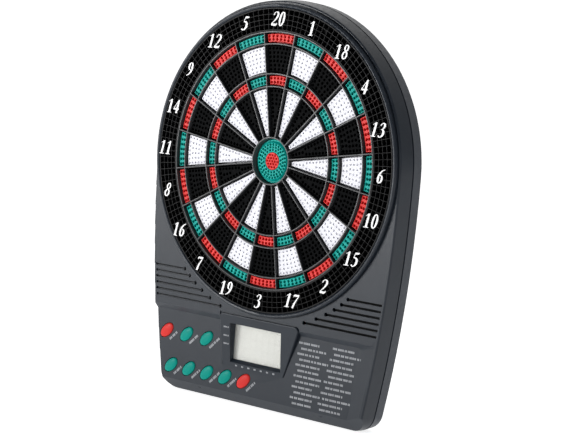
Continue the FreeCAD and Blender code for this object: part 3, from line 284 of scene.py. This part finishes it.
def circle(x, z, radius, count):
    return [(x + radius * math.sin(math.tau * k / count),
             z + radius * math.cos(math.tau * k / count)) for k in range(count)]


def turns_clockwise(loop):
    return sum(x0 * z1 - x1 * z0 for (x0, z0), (x1, z1) in zip(loop, loop[1:] + loop[:1])) < 0


def area(solid, holes):
    """Triangles of all that lies inside a solid outline and outside every hole."""
    spots, loops = [], []
    for loop in [*solid, *holes]:
        loops.append(list(range(len(spots), len(spots) + len(loop))))
        if turns_clockwise(loop):
            loops[-1].reverse()
        spots += [Vector(spot) for spot in loop]
    found, _, triangles, _, _, owners = delaunay_2d_cdt(spots, [], loops, 0, 1e-5)
    return found, [triangle for triangle, owner in zip(triangles, owners)
                   if owner and max(owner) < len(solid)]


class Shape:
    """Gathers faces whose corners are (x, depth, z) in millimetres, and makes a mesh of them."""

    def __init__(self):
        self.mesh = bmesh.new()

    def face(self, corners):
        self.mesh.faces.new([self.mesh.verts.new((x * MM, -depth * MM, z * MM))
                             for x, depth, z in corners])

    def band(self, near, near_depth, far, far_depth):
        """A strip between two outlines of as many points."""
        count = len(near)
        for k in range(count):
            after = (k + 1) % count
            self.face([(near[k][0], near_depth, near[k][1]), (near[after][0], near_depth, near[after][1]),
                       (far[after][0], far_depth, far[after][1]), (far[k][0], far_depth, far[k][1])])

    def sheet(self, solid, holes, depth):
        """A flat area at a depth."""
        found, triangles = area(solid, holes)
        for triangle in triangles:
            self.face([(found[k].x, depth, found[k].y) for k in triangle])

    def prism(self, solid, holes, back, front):
        """The area drawn out from back to front, with walls along its borders."""
        found, triangles = area(solid, holes)
        borders = {}
        for triangle in triangles:
            for depth in (back, front):
                self.face([(found[k].x, depth, found[k].y) for k in triangle])
            for start, end in zip(triangle, triangle[1:] + triangle[:1]):
                key = (min(start, end), max(start, end))
                borders[key] = borders.get(key, 0) + 1
        for (start, end), uses in borders.items():
            if uses == 1:
                a, b = found[start], found[end]
                self.face([(a.x, back, a.y), (b.x, back, b.y), (b.x, front, b.y), (a.x, front, a.y)])

    def mark(self, loop, depth_at):
        """A patch of ink on a surface whose depth at height z is depth_at(z)."""
        front = [(x, depth_at(z) + INK, z) for x, z in loop]
        back = [(x, depth_at(z) - INK, z) for x, z in loop]
        self.face(front)
        self.face(back)
        for k in range(len(loop)):
            self.face([front[k - 1], front[k], back[k], back[k - 1]])

    def done(self, name, smooth=30):
        """The finished mesh, with edges sharper than smooth degrees kept crisp."""
        bmesh.ops.remove_doubles(self.mesh, verts=self.mesh.verts, dist=1e-6)
        bmesh.ops.recalc_face_normals(self.mesh, faces=self.mesh.faces)
        mesh = bpy.data.meshes.new(name)
        self.mesh.to_mesh(mesh)
        self.mesh.free()
        mesh.polygons.foreach_set("use_smooth", [True] * len(mesh.polygons))
        mesh.set_sharp_from_angle(angle=math.radians(smooth))
        return mesh


def piece(name, mesh, slot, body="root", turn=0.0, stands_for=()):
    """Puts a mesh in the scene as a piece of the object, riding on a body."""
    item = bpy.data.objects.new(name, mesh)
    bpy.context.scene.collection.objects.link(item)
    item.matrix_world = Matrix.Rotation(turn, 4, "Y")
    if not mesh.materials:
        mesh.materials.append(None)
    item.material_slots[0].link = "OBJECT"
    item.material_slots[0].material = materials[slot]
    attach(item, body)
    for node in stands_for:
        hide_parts(node)
    return item


# ---- the playing field ----

def sector(inner, outer, gap, points=14):
    """Outline of a segment of the number at the top: two arcs, and two sides kept gap from the webs."""
    def side(radius):
        return math.asin(gap / radius)

    low, high = inner + gap, outer - gap
    wide, narrow = STEP / 2 - side(high), STEP / 2 - side(low)
    spots = [(high * math.sin(a), high * math.cos(a))
             for a in (wide * (2 * k / points - 1) for k in range(points + 1))]
    spots += [(low * math.sin(a), low * math.cos(a))
              for a in (narrow * (1 - 2 * k / points) for k in range(points + 1))]
    return spots


def row_holes(radius, count=None):
    """Centres of the holes in one row of a segment; as many as fit, if no count is given."""
    room = 2 * (radius * math.sin(STEP / 2) - WEB / 2 - FACE_GAP - HOLE_MARGIN)
    if count is None:
        count = int(room / HOLE_PITCH) + 1
    gaps = max(count - 1, 1)
    reach = room / 2 if count > 1 else 0
    return [(x, math.sqrt(radius ** 2 - x ** 2)) for x in
            (-reach + 2 * reach * k / gaps for k in range(count))]


def segment_mesh(name, inner, outer, rows, count=None, hole=HOLE, blind=0.0):
    """One perforated segment: face with a chamfered edge, walls, and a lip behind the webs.

    Holes go right through, or end blind millimetres behind the face.
    """
    gap = WEB / 2 + FACE_GAP
    top, edge, lip = (sector(inner, outer, inset) for inset in (gap + CHAMFER, gap, LIP_GAP + 0.02))
    low, high = inner + gap + HOLE_MARGIN + 0.2, outer - gap - HOLE_MARGIN
    centres = []
    for index in range(rows):
        radius = low + (high - low) * index / (rows - 1)
        centres += row_holes(radius, count)
    mouths = [circle(x, z, hole + MOUTH_FLARE, 10) for x, z in centres]
    bores = [circle(x, z, hole, 10) for x, z in centres]
    shape = Shape()
    shape.sheet([top], mouths, FACE)
    shape.band(top, FACE, edge, FACE - CHAMFER)
    shape.band(edge, FACE - CHAMFER, edge, LIP_FRONT)
    shape.band(edge, LIP_FRONT, lip, LIP_FRONT)
    shape.band(lip, LIP_FRONT, lip, LIP_BACK)
    shape.sheet([lip], [] if blind else bores, LIP_BACK)
    for mouth, bore in zip(mouths, bores):
        shape.band(mouth, FACE, bore, FACE - MOUTH_DEEP)
        shape.band(bore, FACE - MOUTH_DEEP, bore, FACE - blind if blind else LIP_BACK)
        if blind:
            shape.face([(x, FACE - blind, z) for x, z in bore])
    return shape.done(name)


def make_segments():
    singles = {"outer_single": (TRIPLE_OUT, DOUBLE_IN, 6), "inner_single": (BULL_RING, TRIPLE_IN, 11)}
    kinds = {
        "double": segment_mesh("double", DOUBLE_IN, FIELD, 2, 7),
        "triple": segment_mesh("triple", TRIPLE_IN, TRIPLE_OUT, 2, 5),
    }
    for kind, spans in singles.items():
        kinds[kind + "_dark"] = segment_mesh(kind + "_dark", *spans)
        kinds[kind + "_pale"] = segment_mesh(kind + "_pale", *spans, hole=FINE_HOLE,
                                             blind=BLIND_HOLE)
    for index, number in enumerate(NUMBERS):
        dark = number in DARK
        shade, ring = ("black", "red") if dark else ("white", "green")
        for kind in ("double", "outer_single", "triple", "inner_single"):
            single = kind in singles
            mesh = kinds[kind + ("_dark" if dark else "_pale") * single]
            slot = (shade if single else ring) + "_segment"
            piece(f"{kind}_{number}", mesh, slot, f"wedge_{number}", STEP * index, (f"segments_{number}",))


def turned(loop, index):
    """The loop turned about the bull by a number of segments."""
    cos, sin = math.cos(STEP * index), math.sin(STEP * index)
    return [(x * cos + z * sin, z * cos - x * sin) for x, z in loop]


def make_spider():
    """The webs: a plate pierced by eighty cells and the bull's eye, chamfered along every top edge."""
    half = WEB / 2
    spans = ((BULL_RING, TRIPLE_IN), (TRIPLE_IN, TRIPLE_OUT), (TRIPLE_OUT, DOUBLE_IN), (DOUBLE_IN, FIELD))
    places = [(*span, index) for span in spans for index in range(len(NUMBERS))]
    tops = [turned(sector(inner, outer, half - WEB_BEVEL), index) for inner, outer, index in places]
    walls = [turned(sector(inner, outer, half), index) for inner, outer, index in places]
    tops.append(circle(0, 0, BULL_RING - half + WEB_BEVEL, ROUND))
    walls.append(circle(0, 0, BULL_RING - half, ROUND))
    rim_top, rim = (circle(0, 0, FIELD + half - inset, WIDE_ROUND) for inset in (WEB_BEVEL, 0))
    shape = Shape()
    shape.sheet([rim_top], tops, SPIDER_TOP)
    for top, wall in zip([*tops, rim_top], [*walls, rim]):
        shape.band(top, SPIDER_TOP, wall, SPIDER_TOP - WEB_BEVEL)
        shape.band(wall, SPIDER_TOP - WEB_BEVEL, wall, SPIDER_FOOT)
    shape.sheet([rim], walls, SPIDER_FOOT)
    piece("spider_webs", shape.done("spider_webs"), "spider_plastic", stands_for=("spider",))

    skirt, thin = Shape(), half - 0.05
    skirt.prism([circle(0, 0, FIELD + thin, WIDE_ROUND)], [circle(0, 0, FIELD - thin, WIDE_ROUND)],
                FLANGE_BACK, SPIDER_FOOT + EMBED)
    skirt.prism([circle(0, 0, FLANGE_OUT, WIDE_ROUND)], [circle(0, 0, FIELD, WIDE_ROUND)],
                FLANGE_BACK, FLANGE_FRONT)
    piece("spider_flange", skirt.done("spider_flange"), "spider_plastic", stands_for=("spider",))


def lathe(shape, profile):
    """Bands around the bull through (radius, depth) points."""
    for (near, near_depth), (far, far_depth) in zip(profile, profile[1:]):
        shape.band(circle(0, 0, near, ROUND), near_depth, circle(0, 0, far, ROUND), far_depth)


def bull_face(shape, radius, bore, centres, hole):
    """A round perforated face with chamfered edges, and room for a bore in its middle."""
    floor = FACE - BULL_HOLE_DEEP
    mouths = [circle(x, z, hole + 0.18, 10) for x, z in centres]
    bores = [circle(x, z, hole, 10) for x, z in centres]
    eye = [circle(0, 0, bore + EYE_CHAMFER, ROUND)] if bore else []
    rim = circle(0, 0, radius - CHAMFER, ROUND)
    shape.sheet([rim], [*mouths, *eye], FACE)
    shape.band(rim, FACE, circle(0, 0, radius, ROUND), FACE - CHAMFER)
    for mouth, inside in zip(mouths, bores):
        shape.band(mouth, FACE, inside, FACE - MOUTH_DEEP)
        shape.band(inside, FACE - MOUTH_DEEP, inside, floor)
        shape.face([(x, floor, z) for x, z in inside])


def make_bulls():
    """The outer bull with its shoulder and lip, and the inner bull that slides in its bore."""
    centres = [spot for radius, count in BULL_ROWS for spot in circle(0, 0, radius, count)]
    shape = Shape()
    bull_face(shape, OUTER_BULL, BULL_BORE, centres, BULL_HOLE)
    step, lip = FACE - SHOULDER_DROP, BULL_RING - LIP_GAP
    relief, roof = INNER_BULL + 2.3, LIP_FRONT + 1.3
    slope, soft = 1.4, 0.9
    lathe(shape, ((OUTER_BULL, FACE - CHAMFER), (OUTER_BULL + slope, step), (SHOULDER - soft, step),
                  (SHOULDER, step - soft), (SHOULDER, LIP_FRONT), (lip, LIP_FRONT), (lip, LIP_BACK),
                  (relief, LIP_BACK), (relief, roof), (BULL_BORE, roof), (BULL_BORE, FACE - 0.5),
                  (BULL_BORE + EYE_CHAMFER, FACE)))
    piece("bull_outer_face", shape.done("bull_outer_face"), "green_segment", "outer_bull",
          stands_for=("bull_outer",))

    hexes = [(EYE_PITCH * (a + b / 2), EYE_PITCH * b * math.sqrt(0.75))
             for a in range(-2, 3) for b in range(-2, 3) if abs(a + b) <= 2]
    shape = Shape()
    bull_face(shape, INNER_BULL, 0, hexes, EYE_HOLE)
    flare = INNER_BULL + 1.8
    lathe(shape, ((INNER_BULL, FACE - CHAMFER), (INNER_BULL, LIP_FRONT), (flare, LIP_FRONT),
                  (flare, LIP_BACK)))
    shape.sheet([circle(0, 0, flare, ROUND)], [], LIP_BACK)
    piece("bull_inner_face", shape.done("bull_inner_face"), "red_segment", "inner_bull",
          stands_for=("bull_inner",))


# ---- numerals ----

# Each digit is one unit high: pen strokes of (x, y, width) points, or pairs of ellipses (x, y, half
# width, half height) for the outside and the eye of a ring.
THIN, MID, THICK = 0.05, 0.11, 0.19
STROKES = {
    "1": [[(0.04, 0.80, THIN), (0.16, 0.88, THIN), (0.26, 0.95, THIN)],
          [(0.26, 0.97, THICK * 0.9), (0.26, 0.5, THICK), (0.26, 0.03, THICK)],
          [(0.06, 0.03, 0.06), (0.26, 0.03, 0.06), (0.46, 0.03, 0.06)]],
    "2": [[(0.07, 0.74, MID), (0.11, 0.88, 0.07), (0.26, 0.96, 0.07), (0.41, 0.88, 0.15),
           (0.44, 0.72, THICK), (0.36, 0.52, 0.14), (0.22, 0.32, 0.08), (0.04, 0.12, THIN)],
          [(0.03, 0.09, 0.16), (0.22, 0.08, 0.17), (0.42, 0.08, 0.16), (0.50, 0.20, 0.04)]],
    "3": [[(0.08, 0.78, MID), (0.14, 0.90, 0.06), (0.27, 0.96, 0.07), (0.39, 0.88, 0.15),
           (0.40, 0.73, 0.16), (0.31, 0.58, 0.08), (0.18, 0.53, 0.04)],
          [(0.18, 0.54, 0.04), (0.33, 0.50, 0.11), (0.42, 0.36, THICK), (0.41, 0.18, THICK),
           (0.28, 0.04, 0.09), (0.14, 0.03, 0.08), (0.06, 0.12, 0.13)]],
    "4": [[(0.38, 0.96, 0.12), (0.37, 0.5, THICK), (0.36, 0.0, THICK)],
          [(0.38, 0.95, 0.08), (0.20, 0.65, 0.06), (0.04, 0.34, 0.06)],
          [(0.02, 0.30, 0.12), (0.27, 0.30, 0.13), (0.52, 0.30, 0.12)]],
    "5": [[(0.16, 0.91, 0.15), (0.33, 0.91, 0.15), (0.50, 0.94, 0.10)],
          [(0.19, 0.95, 0.06), (0.15, 0.78, 0.06), (0.11, 0.60, 0.06)],
          [(0.11, 0.60, 0.05), (0.28, 0.60, 0.12), (0.42, 0.46, THICK), (0.42, 0.24, THICK),
           (0.30, 0.06, 0.10), (0.15, 0.03, 0.08), (0.06, 0.12, 0.13)]],
    "6": [[(0.50, 0.96, 0.04), (0.32, 0.86, 0.09), (0.17, 0.66, 0.16), (0.11, 0.38, THICK),
           (0.15, 0.14, 0.15), (0.27, 0.04, 0.07), (0.39, 0.14, 0.15), (0.42, 0.32, 0.17),
           (0.36, 0.49, 0.11), (0.25, 0.54, 0.06), (0.13, 0.44, 0.05)]],
    "7": [[(0.05, 0.78, 0.04), (0.10, 0.90, 0.13), (0.28, 0.90, 0.16), (0.50, 0.92, 0.12)],
          [(0.50, 0.94, 0.06), (0.36, 0.62, 0.11), (0.24, 0.32, 0.16), (0.18, 0.0, THICK)]],
}
RINGS = {
    "0": [((0.26, 0.5, 0.25, 0.5), (0.26, 0.5, 0.095, 0.42))],
    "8": [((0.28, 0.755, 0.20, 0.235), (0.28, 0.76, 0.085, 0.165)),
          ((0.25, 0.275, 0.24, 0.275), (0.25, 0.27, 0.105, 0.195))],
}
STROKES["9"] = [[(0.52 - x, 1.0 - y, w) for x, y, w in stroke] for stroke in STROKES["6"]]
DIGIT_HIGH, DIGIT_STEP, WEIGHT, SLANT = 13.3, 0.60, 0.44, 0.25
DIGIT_UP, DIGIT_LEFT, DIGIT_INSET = 0.4, 1.9, 0.02
INK_BACK, INK_FRONT = 0.1, 0.05


def through(points, steps=7):
    """A smooth line (Catmull-Rom) through points of any number of coordinates."""
    ends = [points[0], *points, points[-1]]
    line = []
    for k in range(len(points) - 1):
        a, b, c, d = ends[k:k + 4]
        for step in range(steps):
            t = step / steps
            line.append(tuple(
                0.5 * (2 * q + (r - p) * t + (2 * p - 5 * q + 4 * r - s) * t * t
                       + (3 * q - p - 3 * r + s) * t ** 3) for p, q, r, s in zip(a, b, c, d)))
    return line + [points[-1]]


def ribbon(stroke):
    """Outline of a pen stroke given by (x, y, width) points."""
    line = through(stroke)
    left, right = [], []
    for k, (x, y, width) in enumerate(line):
        (x0, y0, _), (x1, y1, _) = line[max(k - 1, 0)], line[min(k + 1, len(line) - 1)]
        long = math.hypot(x1 - x0, y1 - y0)
        off_x, off_y = -(y1 - y0) / long * width * WEIGHT, (x1 - x0) / long * width * WEIGHT
        left.append((x + off_x, y + off_y))
        right.append((x - off_x, y - off_y))
    return left + right[::-1]


def ellipse(x, y, wide, high, count=28):
    return [(x + wide * math.sin(math.tau * k / count), y + high * math.cos(math.tau * k / count))
            for k in range(count)]


def digit(character):
    """(solid outlines, holes) of an italic digit one unit high."""
    solid = [ribbon(stroke) for stroke in STROKES.get(character, ())]
    holes = []
    for outer, inner in RINGS.get(character, ()):
        solid.append(ellipse(*outer))
        holes.append(ellipse(*inner))
    return solid, holes


def make_numerals():
    """Upright italic numbers on the ring: black stems with white ink on top."""
    middle = RING_IN + 0.5 * (RING_OUT - RING_IN) + DIGIT_UP
    for index, number in enumerate(NUMBERS):
        text = str(number)
        x0 = middle * math.sin(STEP * index) - DIGIT_LEFT
        z0 = middle * math.cos(STEP * index) - DIGIT_HIGH / 2
        stem, ink = Shape(), Shape()
        for place, character in enumerate(text):
            shift = (place - len(text) / 2) * DIGIT_STEP

            def put(loop, shift=shift):
                return [(x0 + DIGIT_HIGH * (x + shift + DIGIT_INSET + SLANT * (y - 0.5)),
                         z0 + DIGIT_HIGH * y) for x, y in loop]

            solid, holes = digit(character)
            solid, holes = [put(loop) for loop in solid], [put(loop) for loop in holes]
            stem.prism(solid, holes, RING_FLOOR - EMBED, SPIDER_TOP - INK_BACK)
            ink.prism(solid, holes, SPIDER_TOP - INK_BACK, SPIDER_TOP + INK_FRONT)
        piece(f"numeral_{number}_stem", stem.done(f"numeral_{number}_stem"), "black_plastic")
        piece(f"numeral_{number}", ink.done(f"numeral_{number}"), "numeral_ink")


# ---- number ring ----

def arc_quad(low, high, start, end):
    """A cell of the ring's lattice."""
    return [(low * math.sin(start), low * math.cos(start)), (high * math.sin(start), high * math.cos(start)),
            (high * math.sin(end), high * math.cos(end)), (low * math.sin(end), low * math.cos(end))]


def lattice_cells():
    """Outlines of the cells between the ridges."""
    columns = LATTICE_PER_NUMBER * len(NUMBERS)
    inner, outer, half = RING_IN + RING_WALL, RING_OUT - RING_WALL, LATTICE_RIDGE / 2
    cells = []
    for row in range(LATTICE_ROWS):
        low = inner + (outer - inner) * row / LATTICE_ROWS + half * (row > 0)
        high = inner + (outer - inner) * (row + 1) / LATTICE_ROWS - half * (row < LATTICE_ROWS - 1)
        slim = half / (0.5 * (low + high))
        for column in range(columns):
            start = math.tau * column / columns - STEP / 2
            cells.append(arc_quad(low, high, start + slim, start + math.tau / columns - slim))
    return cells


def make_number_ring():
    """The ring with its lattice, and the posts over the backing plate's screws."""
    cells, top = lattice_cells(), SPIDER_TOP - LATTICE_DROP
    around = 14 * len(NUMBERS)
    outline, bore = circle(0, 0, RING_OUT, around), circle(0, 0, RING_IN, around)
    shape = Shape()
    shape.sheet([outline], [bore, *cells], top)
    for cell in cells:
        shape.band(cell, top, cell, RING_FLOOR)
        shape.face([(x, RING_FLOOR, z) for x, z in cell])
    shape.band(outline, top, outline, RING_BACK)
    shape.band(bore, top, bore, RING_BACK)
    shape.sheet([outline], [bore], RING_BACK)
    for angle in map(math.radians, POST_ANGLES):
        post = circle(POST_CIRCLE * math.cos(angle), POST_CIRCLE * math.sin(angle), POST, 24)
        shape.prism([post], [], RING_FLOOR - EMBED, RING_FLOOR + POST_HIGH)
    piece("number_lattice", shape.done("number_lattice"), "black_plastic", stands_for=("number_ring",))


# ---- control panel ----

def oval(x, z, long, short, count=40):
    """Outline of a button, its long axis rising to the right."""
    cos, sin = math.cos(BUTTON_TILT), math.sin(BUTTON_TILT)
    return [(x + long * u * cos - short * v * sin, z + long * u * sin + short * v * cos)
            for u, v in ((math.cos(math.tau * k / count), math.sin(math.tau * k / count))
                         for k in range(count))]


def button_places():
    """(node, x, z) of each button."""
    names = [f"button_upper_{k}" for k in (1, 2, 3)] + [f"button_lower_{k}" for k in (1, 2, 3, 4, 5)]
    for name in names:
        low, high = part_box(name)
        yield name, (low.x + high.x) / 2 / MM, (low.z + high.z) / 2 / MM


def button_profile(crest):
    """How far a button's outline is grown, what it is scaled by, and its depth, from the foot up."""
    shoulder, steps = crest - BUTTON_DOME, 9
    yield BUTTON_LIP, 1.0, BUTTON_FOOT
    yield BUTTON_LIP, 1.0, BUTTON_FOOT + BUTTON_LIP_HIGH
    yield 0.0, 1.0, BUTTON_FOOT + BUTTON_LIP_HIGH
    for k in range(steps):
        turn = math.pi / 2 * k / steps
        yield 0.0, math.cos(turn) ** DOME_FULL, shoulder + BUTTON_DOME * math.sin(turn)


def make_buttons():
    """Domed oval buttons with the lip that keeps them in the housing."""
    low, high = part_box("button_upper_1")
    crest, stem = -low.y / MM, -high.y / MM
    for name, x, z in button_places():
        rings = [(oval(x, z, (BUTTON_LONG + grown) * scale, (BUTTON_SHORT + grown) * scale), depth)
                 for grown, scale, depth in button_profile(crest)]
        shape = Shape()
        for (near, near_depth), (far, far_depth) in zip(rings, rings[1:]):
            shape.band(near, near_depth, far, far_depth)
        rim, depth = rings[-1]
        for (x0, z0), (x1, z1) in zip(rim[-1:] + rim, rim):
            shape.face([(x0, depth, z0), (x1, depth, z1), (x, crest, z)])
        shape.sheet([rings[0][0]], [], BUTTON_FOOT)
        shape.prism([circle(x, z, BUTTON_STEM, 24)], [], stem, BUTTON_FOOT + EMBED)
        slot = "red_button" if name in RED_BUTTONS else "green_button"
        piece(name + "_dome", shape.done(name + "_dome", 40), slot, name, stands_for=(name,))


def words(x, z, length, high, seed, lean=0.0):
    """Small upright bars, in groups of two to six, that stand for a line of print."""
    loops, at, left = [], 0.0, 0
    cos, sin = math.cos(lean), math.sin(lean)
    while at < length:
        if not left:
            seed = (seed * 37 + 11) % 101
            left = 2 + seed % 5
            at += WORD_GAP
        low, wide = -high / 2, BAR + 0.3 * (left % 2)
        loops.append([(x + u * cos - v * sin, z + u * sin + v * cos)
                      for u, v in ((at, low), (at + wide, low), (at + wide, high / 2), (at, high / 2))])
        at += wide + BAR_GAP
        left -= 1
    return loops


def tray_floor(z):
    return TRAY_FLOOR


def hood_face(z):
    """Depth of the hood's sloping face at height z."""
    return HOOD_TOP - (HOOD_TOP - HOOD_FOOT) * (HOOD_HIGH - z) / (HOOD_HIGH - HOOD_LOW)


def make_legends():
    """Plain bars where the panel's small print would be."""
    shape = Shape()
    for column, ((top_x, top_z), (foot_x, foot_z)) in enumerate(LIST_COLUMNS):
        for line in range(LIST_LINES):
            part = line / (LIST_LINES - 1)
            x = top_x + (foot_x - top_x) * part + LIST_INDENT * (line % 2)
            z = top_z + (foot_z - top_z) * part
            length = 23.0 + (line * 29 + column * 13) % 11
            for loop in words(x, z, length, 1.9, 7 * line + 31 * column):
                shape.mark(loop, tray_floor)
    piece("game_list", shape.done("game_list"), "legend_ink")

    shape = Shape()
    for index, (_, x, z) in enumerate(button_places()):
        length = 13.0 + 1.5 * (index % 3)
        for loop in words(x + 4.0, z - 8.8, length, 2.2, 5 * index + 3, math.radians(43)):
            shape.mark(loop, tray_floor)
    piece("button_labels", shape.done("button_labels"), "legend_ink")

    shape = Shape()
    for z in SIDE_MARKS:
        for loop in words(SIDE_MARK_X, z, 5.0, 1.4, 9):
            shape.mark(loop, hood_face)
    for k in range(FOOT_MARKS):
        for loop in words(FOOT_MARK_X + FOOT_MARK_PITCH * k, FOOT_MARK_Z, 2.6, 1.4, 4):
            shape.mark(loop, hood_face)
    piece("display_labels", shape.done("display_labels"), "legend_ink")


def make_liquid_crystal():
    """Faint unlit bars of the display's characters."""
    glass = -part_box("display_glass")[0].y / MM
    shape = Shape()

    def bar(x0, x1, z0, z1):
        shape.prism([[(x0, z0), (x1, z0), (x1, z1), (x0, z1)]], [], glass - 0.1, glass + 0.05)

    columns, rows, wide = 7, 3, 0.35
    for k in range(columns + 1):
        x = WINDOW_LEFT + (WINDOW_RIGHT - WINDOW_LEFT) * k / columns
        bar(x, x + wide, WINDOW_LOW, WINDOW_HIGH)
    for k in range(rows + 1):
        z = WINDOW_LOW + (WINDOW_HIGH - WINDOW_LOW) * k / rows
        bar(WINDOW_LEFT + wide, WINDOW_RIGHT, z, z + wide)
    piece("display_bars", shape.done("display_bars"), "liquid_crystal")


# ---- carried-over nodes ----

def flat_areas(work):
    """The area of the flat region that each face belongs to, and the number of that region."""
    region, sizes = {}, []
    for seed in work.faces:
        if seed in region:
            continue
        region[seed] = len(sizes)
        found, size = [seed], 0.0
        while found:
            face = found.pop()
            size += face.calc_area()
            for edge in face.edges:
                for other in edge.link_faces:
                    if other not in region and other.normal.dot(seed.normal) > FLAT:
                        region[other] = len(sizes)
                        found.append(other)
        sizes.append(size)
    return region, sizes


def crisp_edges(work):
    """Edges that stay crisp: steep ones, and those where two broad flat regions meet."""
    region, sizes = flat_areas(work)
    for edge in work.edges:
        if len(edge.link_faces) != 2:
            continue
        first, second = edge.link_faces
        turn = edge.calc_face_angle(0.0)
        broad = min(sizes[region[first]], sizes[region[second]]) > BROAD
        edge.smooth = turn < (CREASE if broad else STEEP)


def crisp_copy(name, slot, body="root", seam_cut=0.0):
    """A copy of a CAD node, shaded flat up to its real edges; seam_cut widens the shells' joint."""
    node = frame["nodes"][name]
    work = bmesh.new()
    work.from_mesh(node.data)
    work.transform(node.matrix_world)
    bmesh.ops.remove_doubles(work, verts=work.verts, dist=1e-6)
    for spot in work.verts:
        if abs(spot.co.y + SEAM * MM) < MM / 100:
            spot.co.y += seam_cut * MM
    work.normal_update()
    crisp_edges(work)
    mesh = bpy.data.meshes.new(name + "_skin")
    work.to_mesh(mesh)
    work.free()
    mesh.polygons.foreach_set("use_smooth", [True] * len(mesh.polygons))
    item = piece(name + "_skin", mesh, slot, body, stands_for=(name,))
    even = item.modifiers.new("even", "WEIGHTED_NORMAL")
    even.keep_sharp = True
    even.weight = 100


def make_louvre_slots():
    """Painted shade: thin black strips laid on the floors of the louvres where their shadow falls, wide at
    the right and narrow at the left.
    """
    shape = Shape()
    bed = -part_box("front_housing")[0].y / MM - LOUVRE_BED
    for row in range(LOUVRES):
        drop = LOUVRE_FIRST + LOUVRE_PITCH * row
        start = math.sqrt(LOUVRE_CIRCLE ** 2 - drop ** 2) + LOUVRE_PAST_HOLE
        end = math.sqrt(SIDE_RADIUS ** 2 - drop ** 2) - SIDE_CENTRE - LOUVRE_RIM
        for side, half in LOUVRE_PAINTED_SHADE:
            slot = [(side * start, -drop - half), (side * end, -drop - half),
                    (side * end, -drop + half), (side * start, -drop + half)]
            # Each strip is painted shade that stands for the shadow in a louvre; it is not an opening.
            shape.prism([slot], [], bed - 0.1, bed + 0.25)
    piece("louvre_painted_shade", shape.done("louvre_painted_shade"), "black_rubber")


def make_skins():
    """Copies of the outer shells, and the ridges for the thumb on the battery door."""
    crisp_copy("front_housing", "housing_plastic")
    crisp_copy("rear_housing", "rear_plastic", seam_cut=SEAM_CUT)
    crisp_copy("battery_door", "rear_plastic", "battery_cover")
    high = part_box("battery_door")[1]
    back, top = -high.y / MM, high.z / MM - 10.0
    ridges, pitch, half_long, wide, proud = 6, 2.2, 14, 0.9, 0.2
    shape = Shape()
    for k in range(ridges):
        z = top - pitch * k
        ridge = [(-half_long, z), (half_long, z), (half_long, z + wide), (-half_long, z + wide)]
        shape.prism([ridge], [], back - proud, back + 0.1)
    piece("door_grip", shape.done("door_grip"), "rear_plastic", "battery_cover")


def dress_nodes():
    """Gives each CAD node that stays the material of its slot."""
    for row in frame["record"]["subparts"]:
        item = frame["nodes"][row["node"]]
        item.data.materials.clear()
        item.data.materials.append(materials[row["material_slot"]])


# ---- surroundings ----

def plain_floor():
    """A wide white floor that gives off a little light, so that it stays pale far from the lamps."""
    low, reach = cad_box[0].z, 12.0
    mesh = bpy.data.meshes.new("floor")
    mesh.from_pydata([(-reach, -reach, low), (reach, -reach, low), (reach, reach, low),
                      (-reach, reach, low)], [], [(0, 1, 2, 3)])
    floor = bpy.data.objects.new("floor", mesh)
    bpy.context.scene.collection.objects.link(floor)
    material, _, surface = shader("floor_paint")
    surface.inputs["Base Color"].default_value = (0.88, 0.88, 0.88, 1)
    surface.inputs["Roughness"].default_value = 0.9
    surface.inputs["Specular IOR Level"].default_value = 0.0
    surface.inputs["Emission Color"].default_value = (1, 1, 1, 1)
    surface.inputs["Emission Strength"].default_value = 0.80
    mesh.materials.append(material)


def lamp(name, place, size, power, colour=(1, 1, 1)):
    """A square lamp aimed at the board."""
    data = bpy.data.lights.new(name, "AREA")
    data.size = size
    data.energy = power
    data.color = colour
    item = bpy.data.objects.new(name, data)
    bpy.context.scene.collection.objects.link(item)
    item.location = place
    item.rotation_euler = (-Vector(place)).to_track_quat("-Z", "Y").to_euler()


def make_studio():
    """Floor, two lamps, and surroundings that are bright behind the board and dim in front of it."""
    plain_floor()
    lamp("key", (-1.45, -1.85, 0.25), 0.9, 34)
    lamp("rim", (1.6, -1.0, 1.9), 0.8, 6, (0.80, 0.88, 1.0))
    world = bpy.data.worlds.new("studio")
    world.use_nodes = True
    tree = world.node_tree
    direction = tree.nodes.new("ShaderNodeTexCoord")
    behind = tree.nodes.new("ShaderNodeVectorMath")
    behind.operation = "DOT_PRODUCT"
    behind.inputs[1].default_value = (-0.57, 0.82, 0.0)
    tree.links.new(direction.outputs["Generated"], behind.inputs[0])
    spread = tree.nodes.new("ShaderNodeMapRange")
    spread.inputs["From Min"].default_value = 0.0
    spread.inputs["From Max"].default_value = 0.7
    spread.inputs["To Min"].default_value = 0.13
    spread.inputs["To Max"].default_value = 1.1
    tree.links.new(behind.outputs["Value"], spread.inputs["Value"])
    tree.links.new(spread.outputs["Result"], tree.nodes["Background"].inputs["Strength"])
    tree.nodes["Background"].inputs["Color"].default_value = (1, 1, 1, 1)
    bpy.context.scene.world = world
    bpy.context.scene.view_settings.view_transform = "Standard"


def make_camera():
    """Camera to the right of the board, a little above its middle."""
    data = bpy.data.cameras.new("camera")
    data.lens = 120.75
    data.sensor_width = 36.0
    data.clip_end = 60
    camera = bpy.data.objects.new("camera", data)
    bpy.context.scene.collection.objects.link(camera)
    camera.location = (1.14692, -1.37720, 0.12760)
    camera.rotation_euler = [math.radians(turn) for turn in (84.258, -4.259, 40.262)]
    bpy.context.scene.camera = camera


make_camera()
make_studio()
materials = make_materials()
dress_nodes()
make_segments()
make_bulls()
make_spider()
make_number_ring()
make_numerals()
make_buttons()
make_legends()
make_liquid_crystal()
make_louvre_slots()
make_skins()
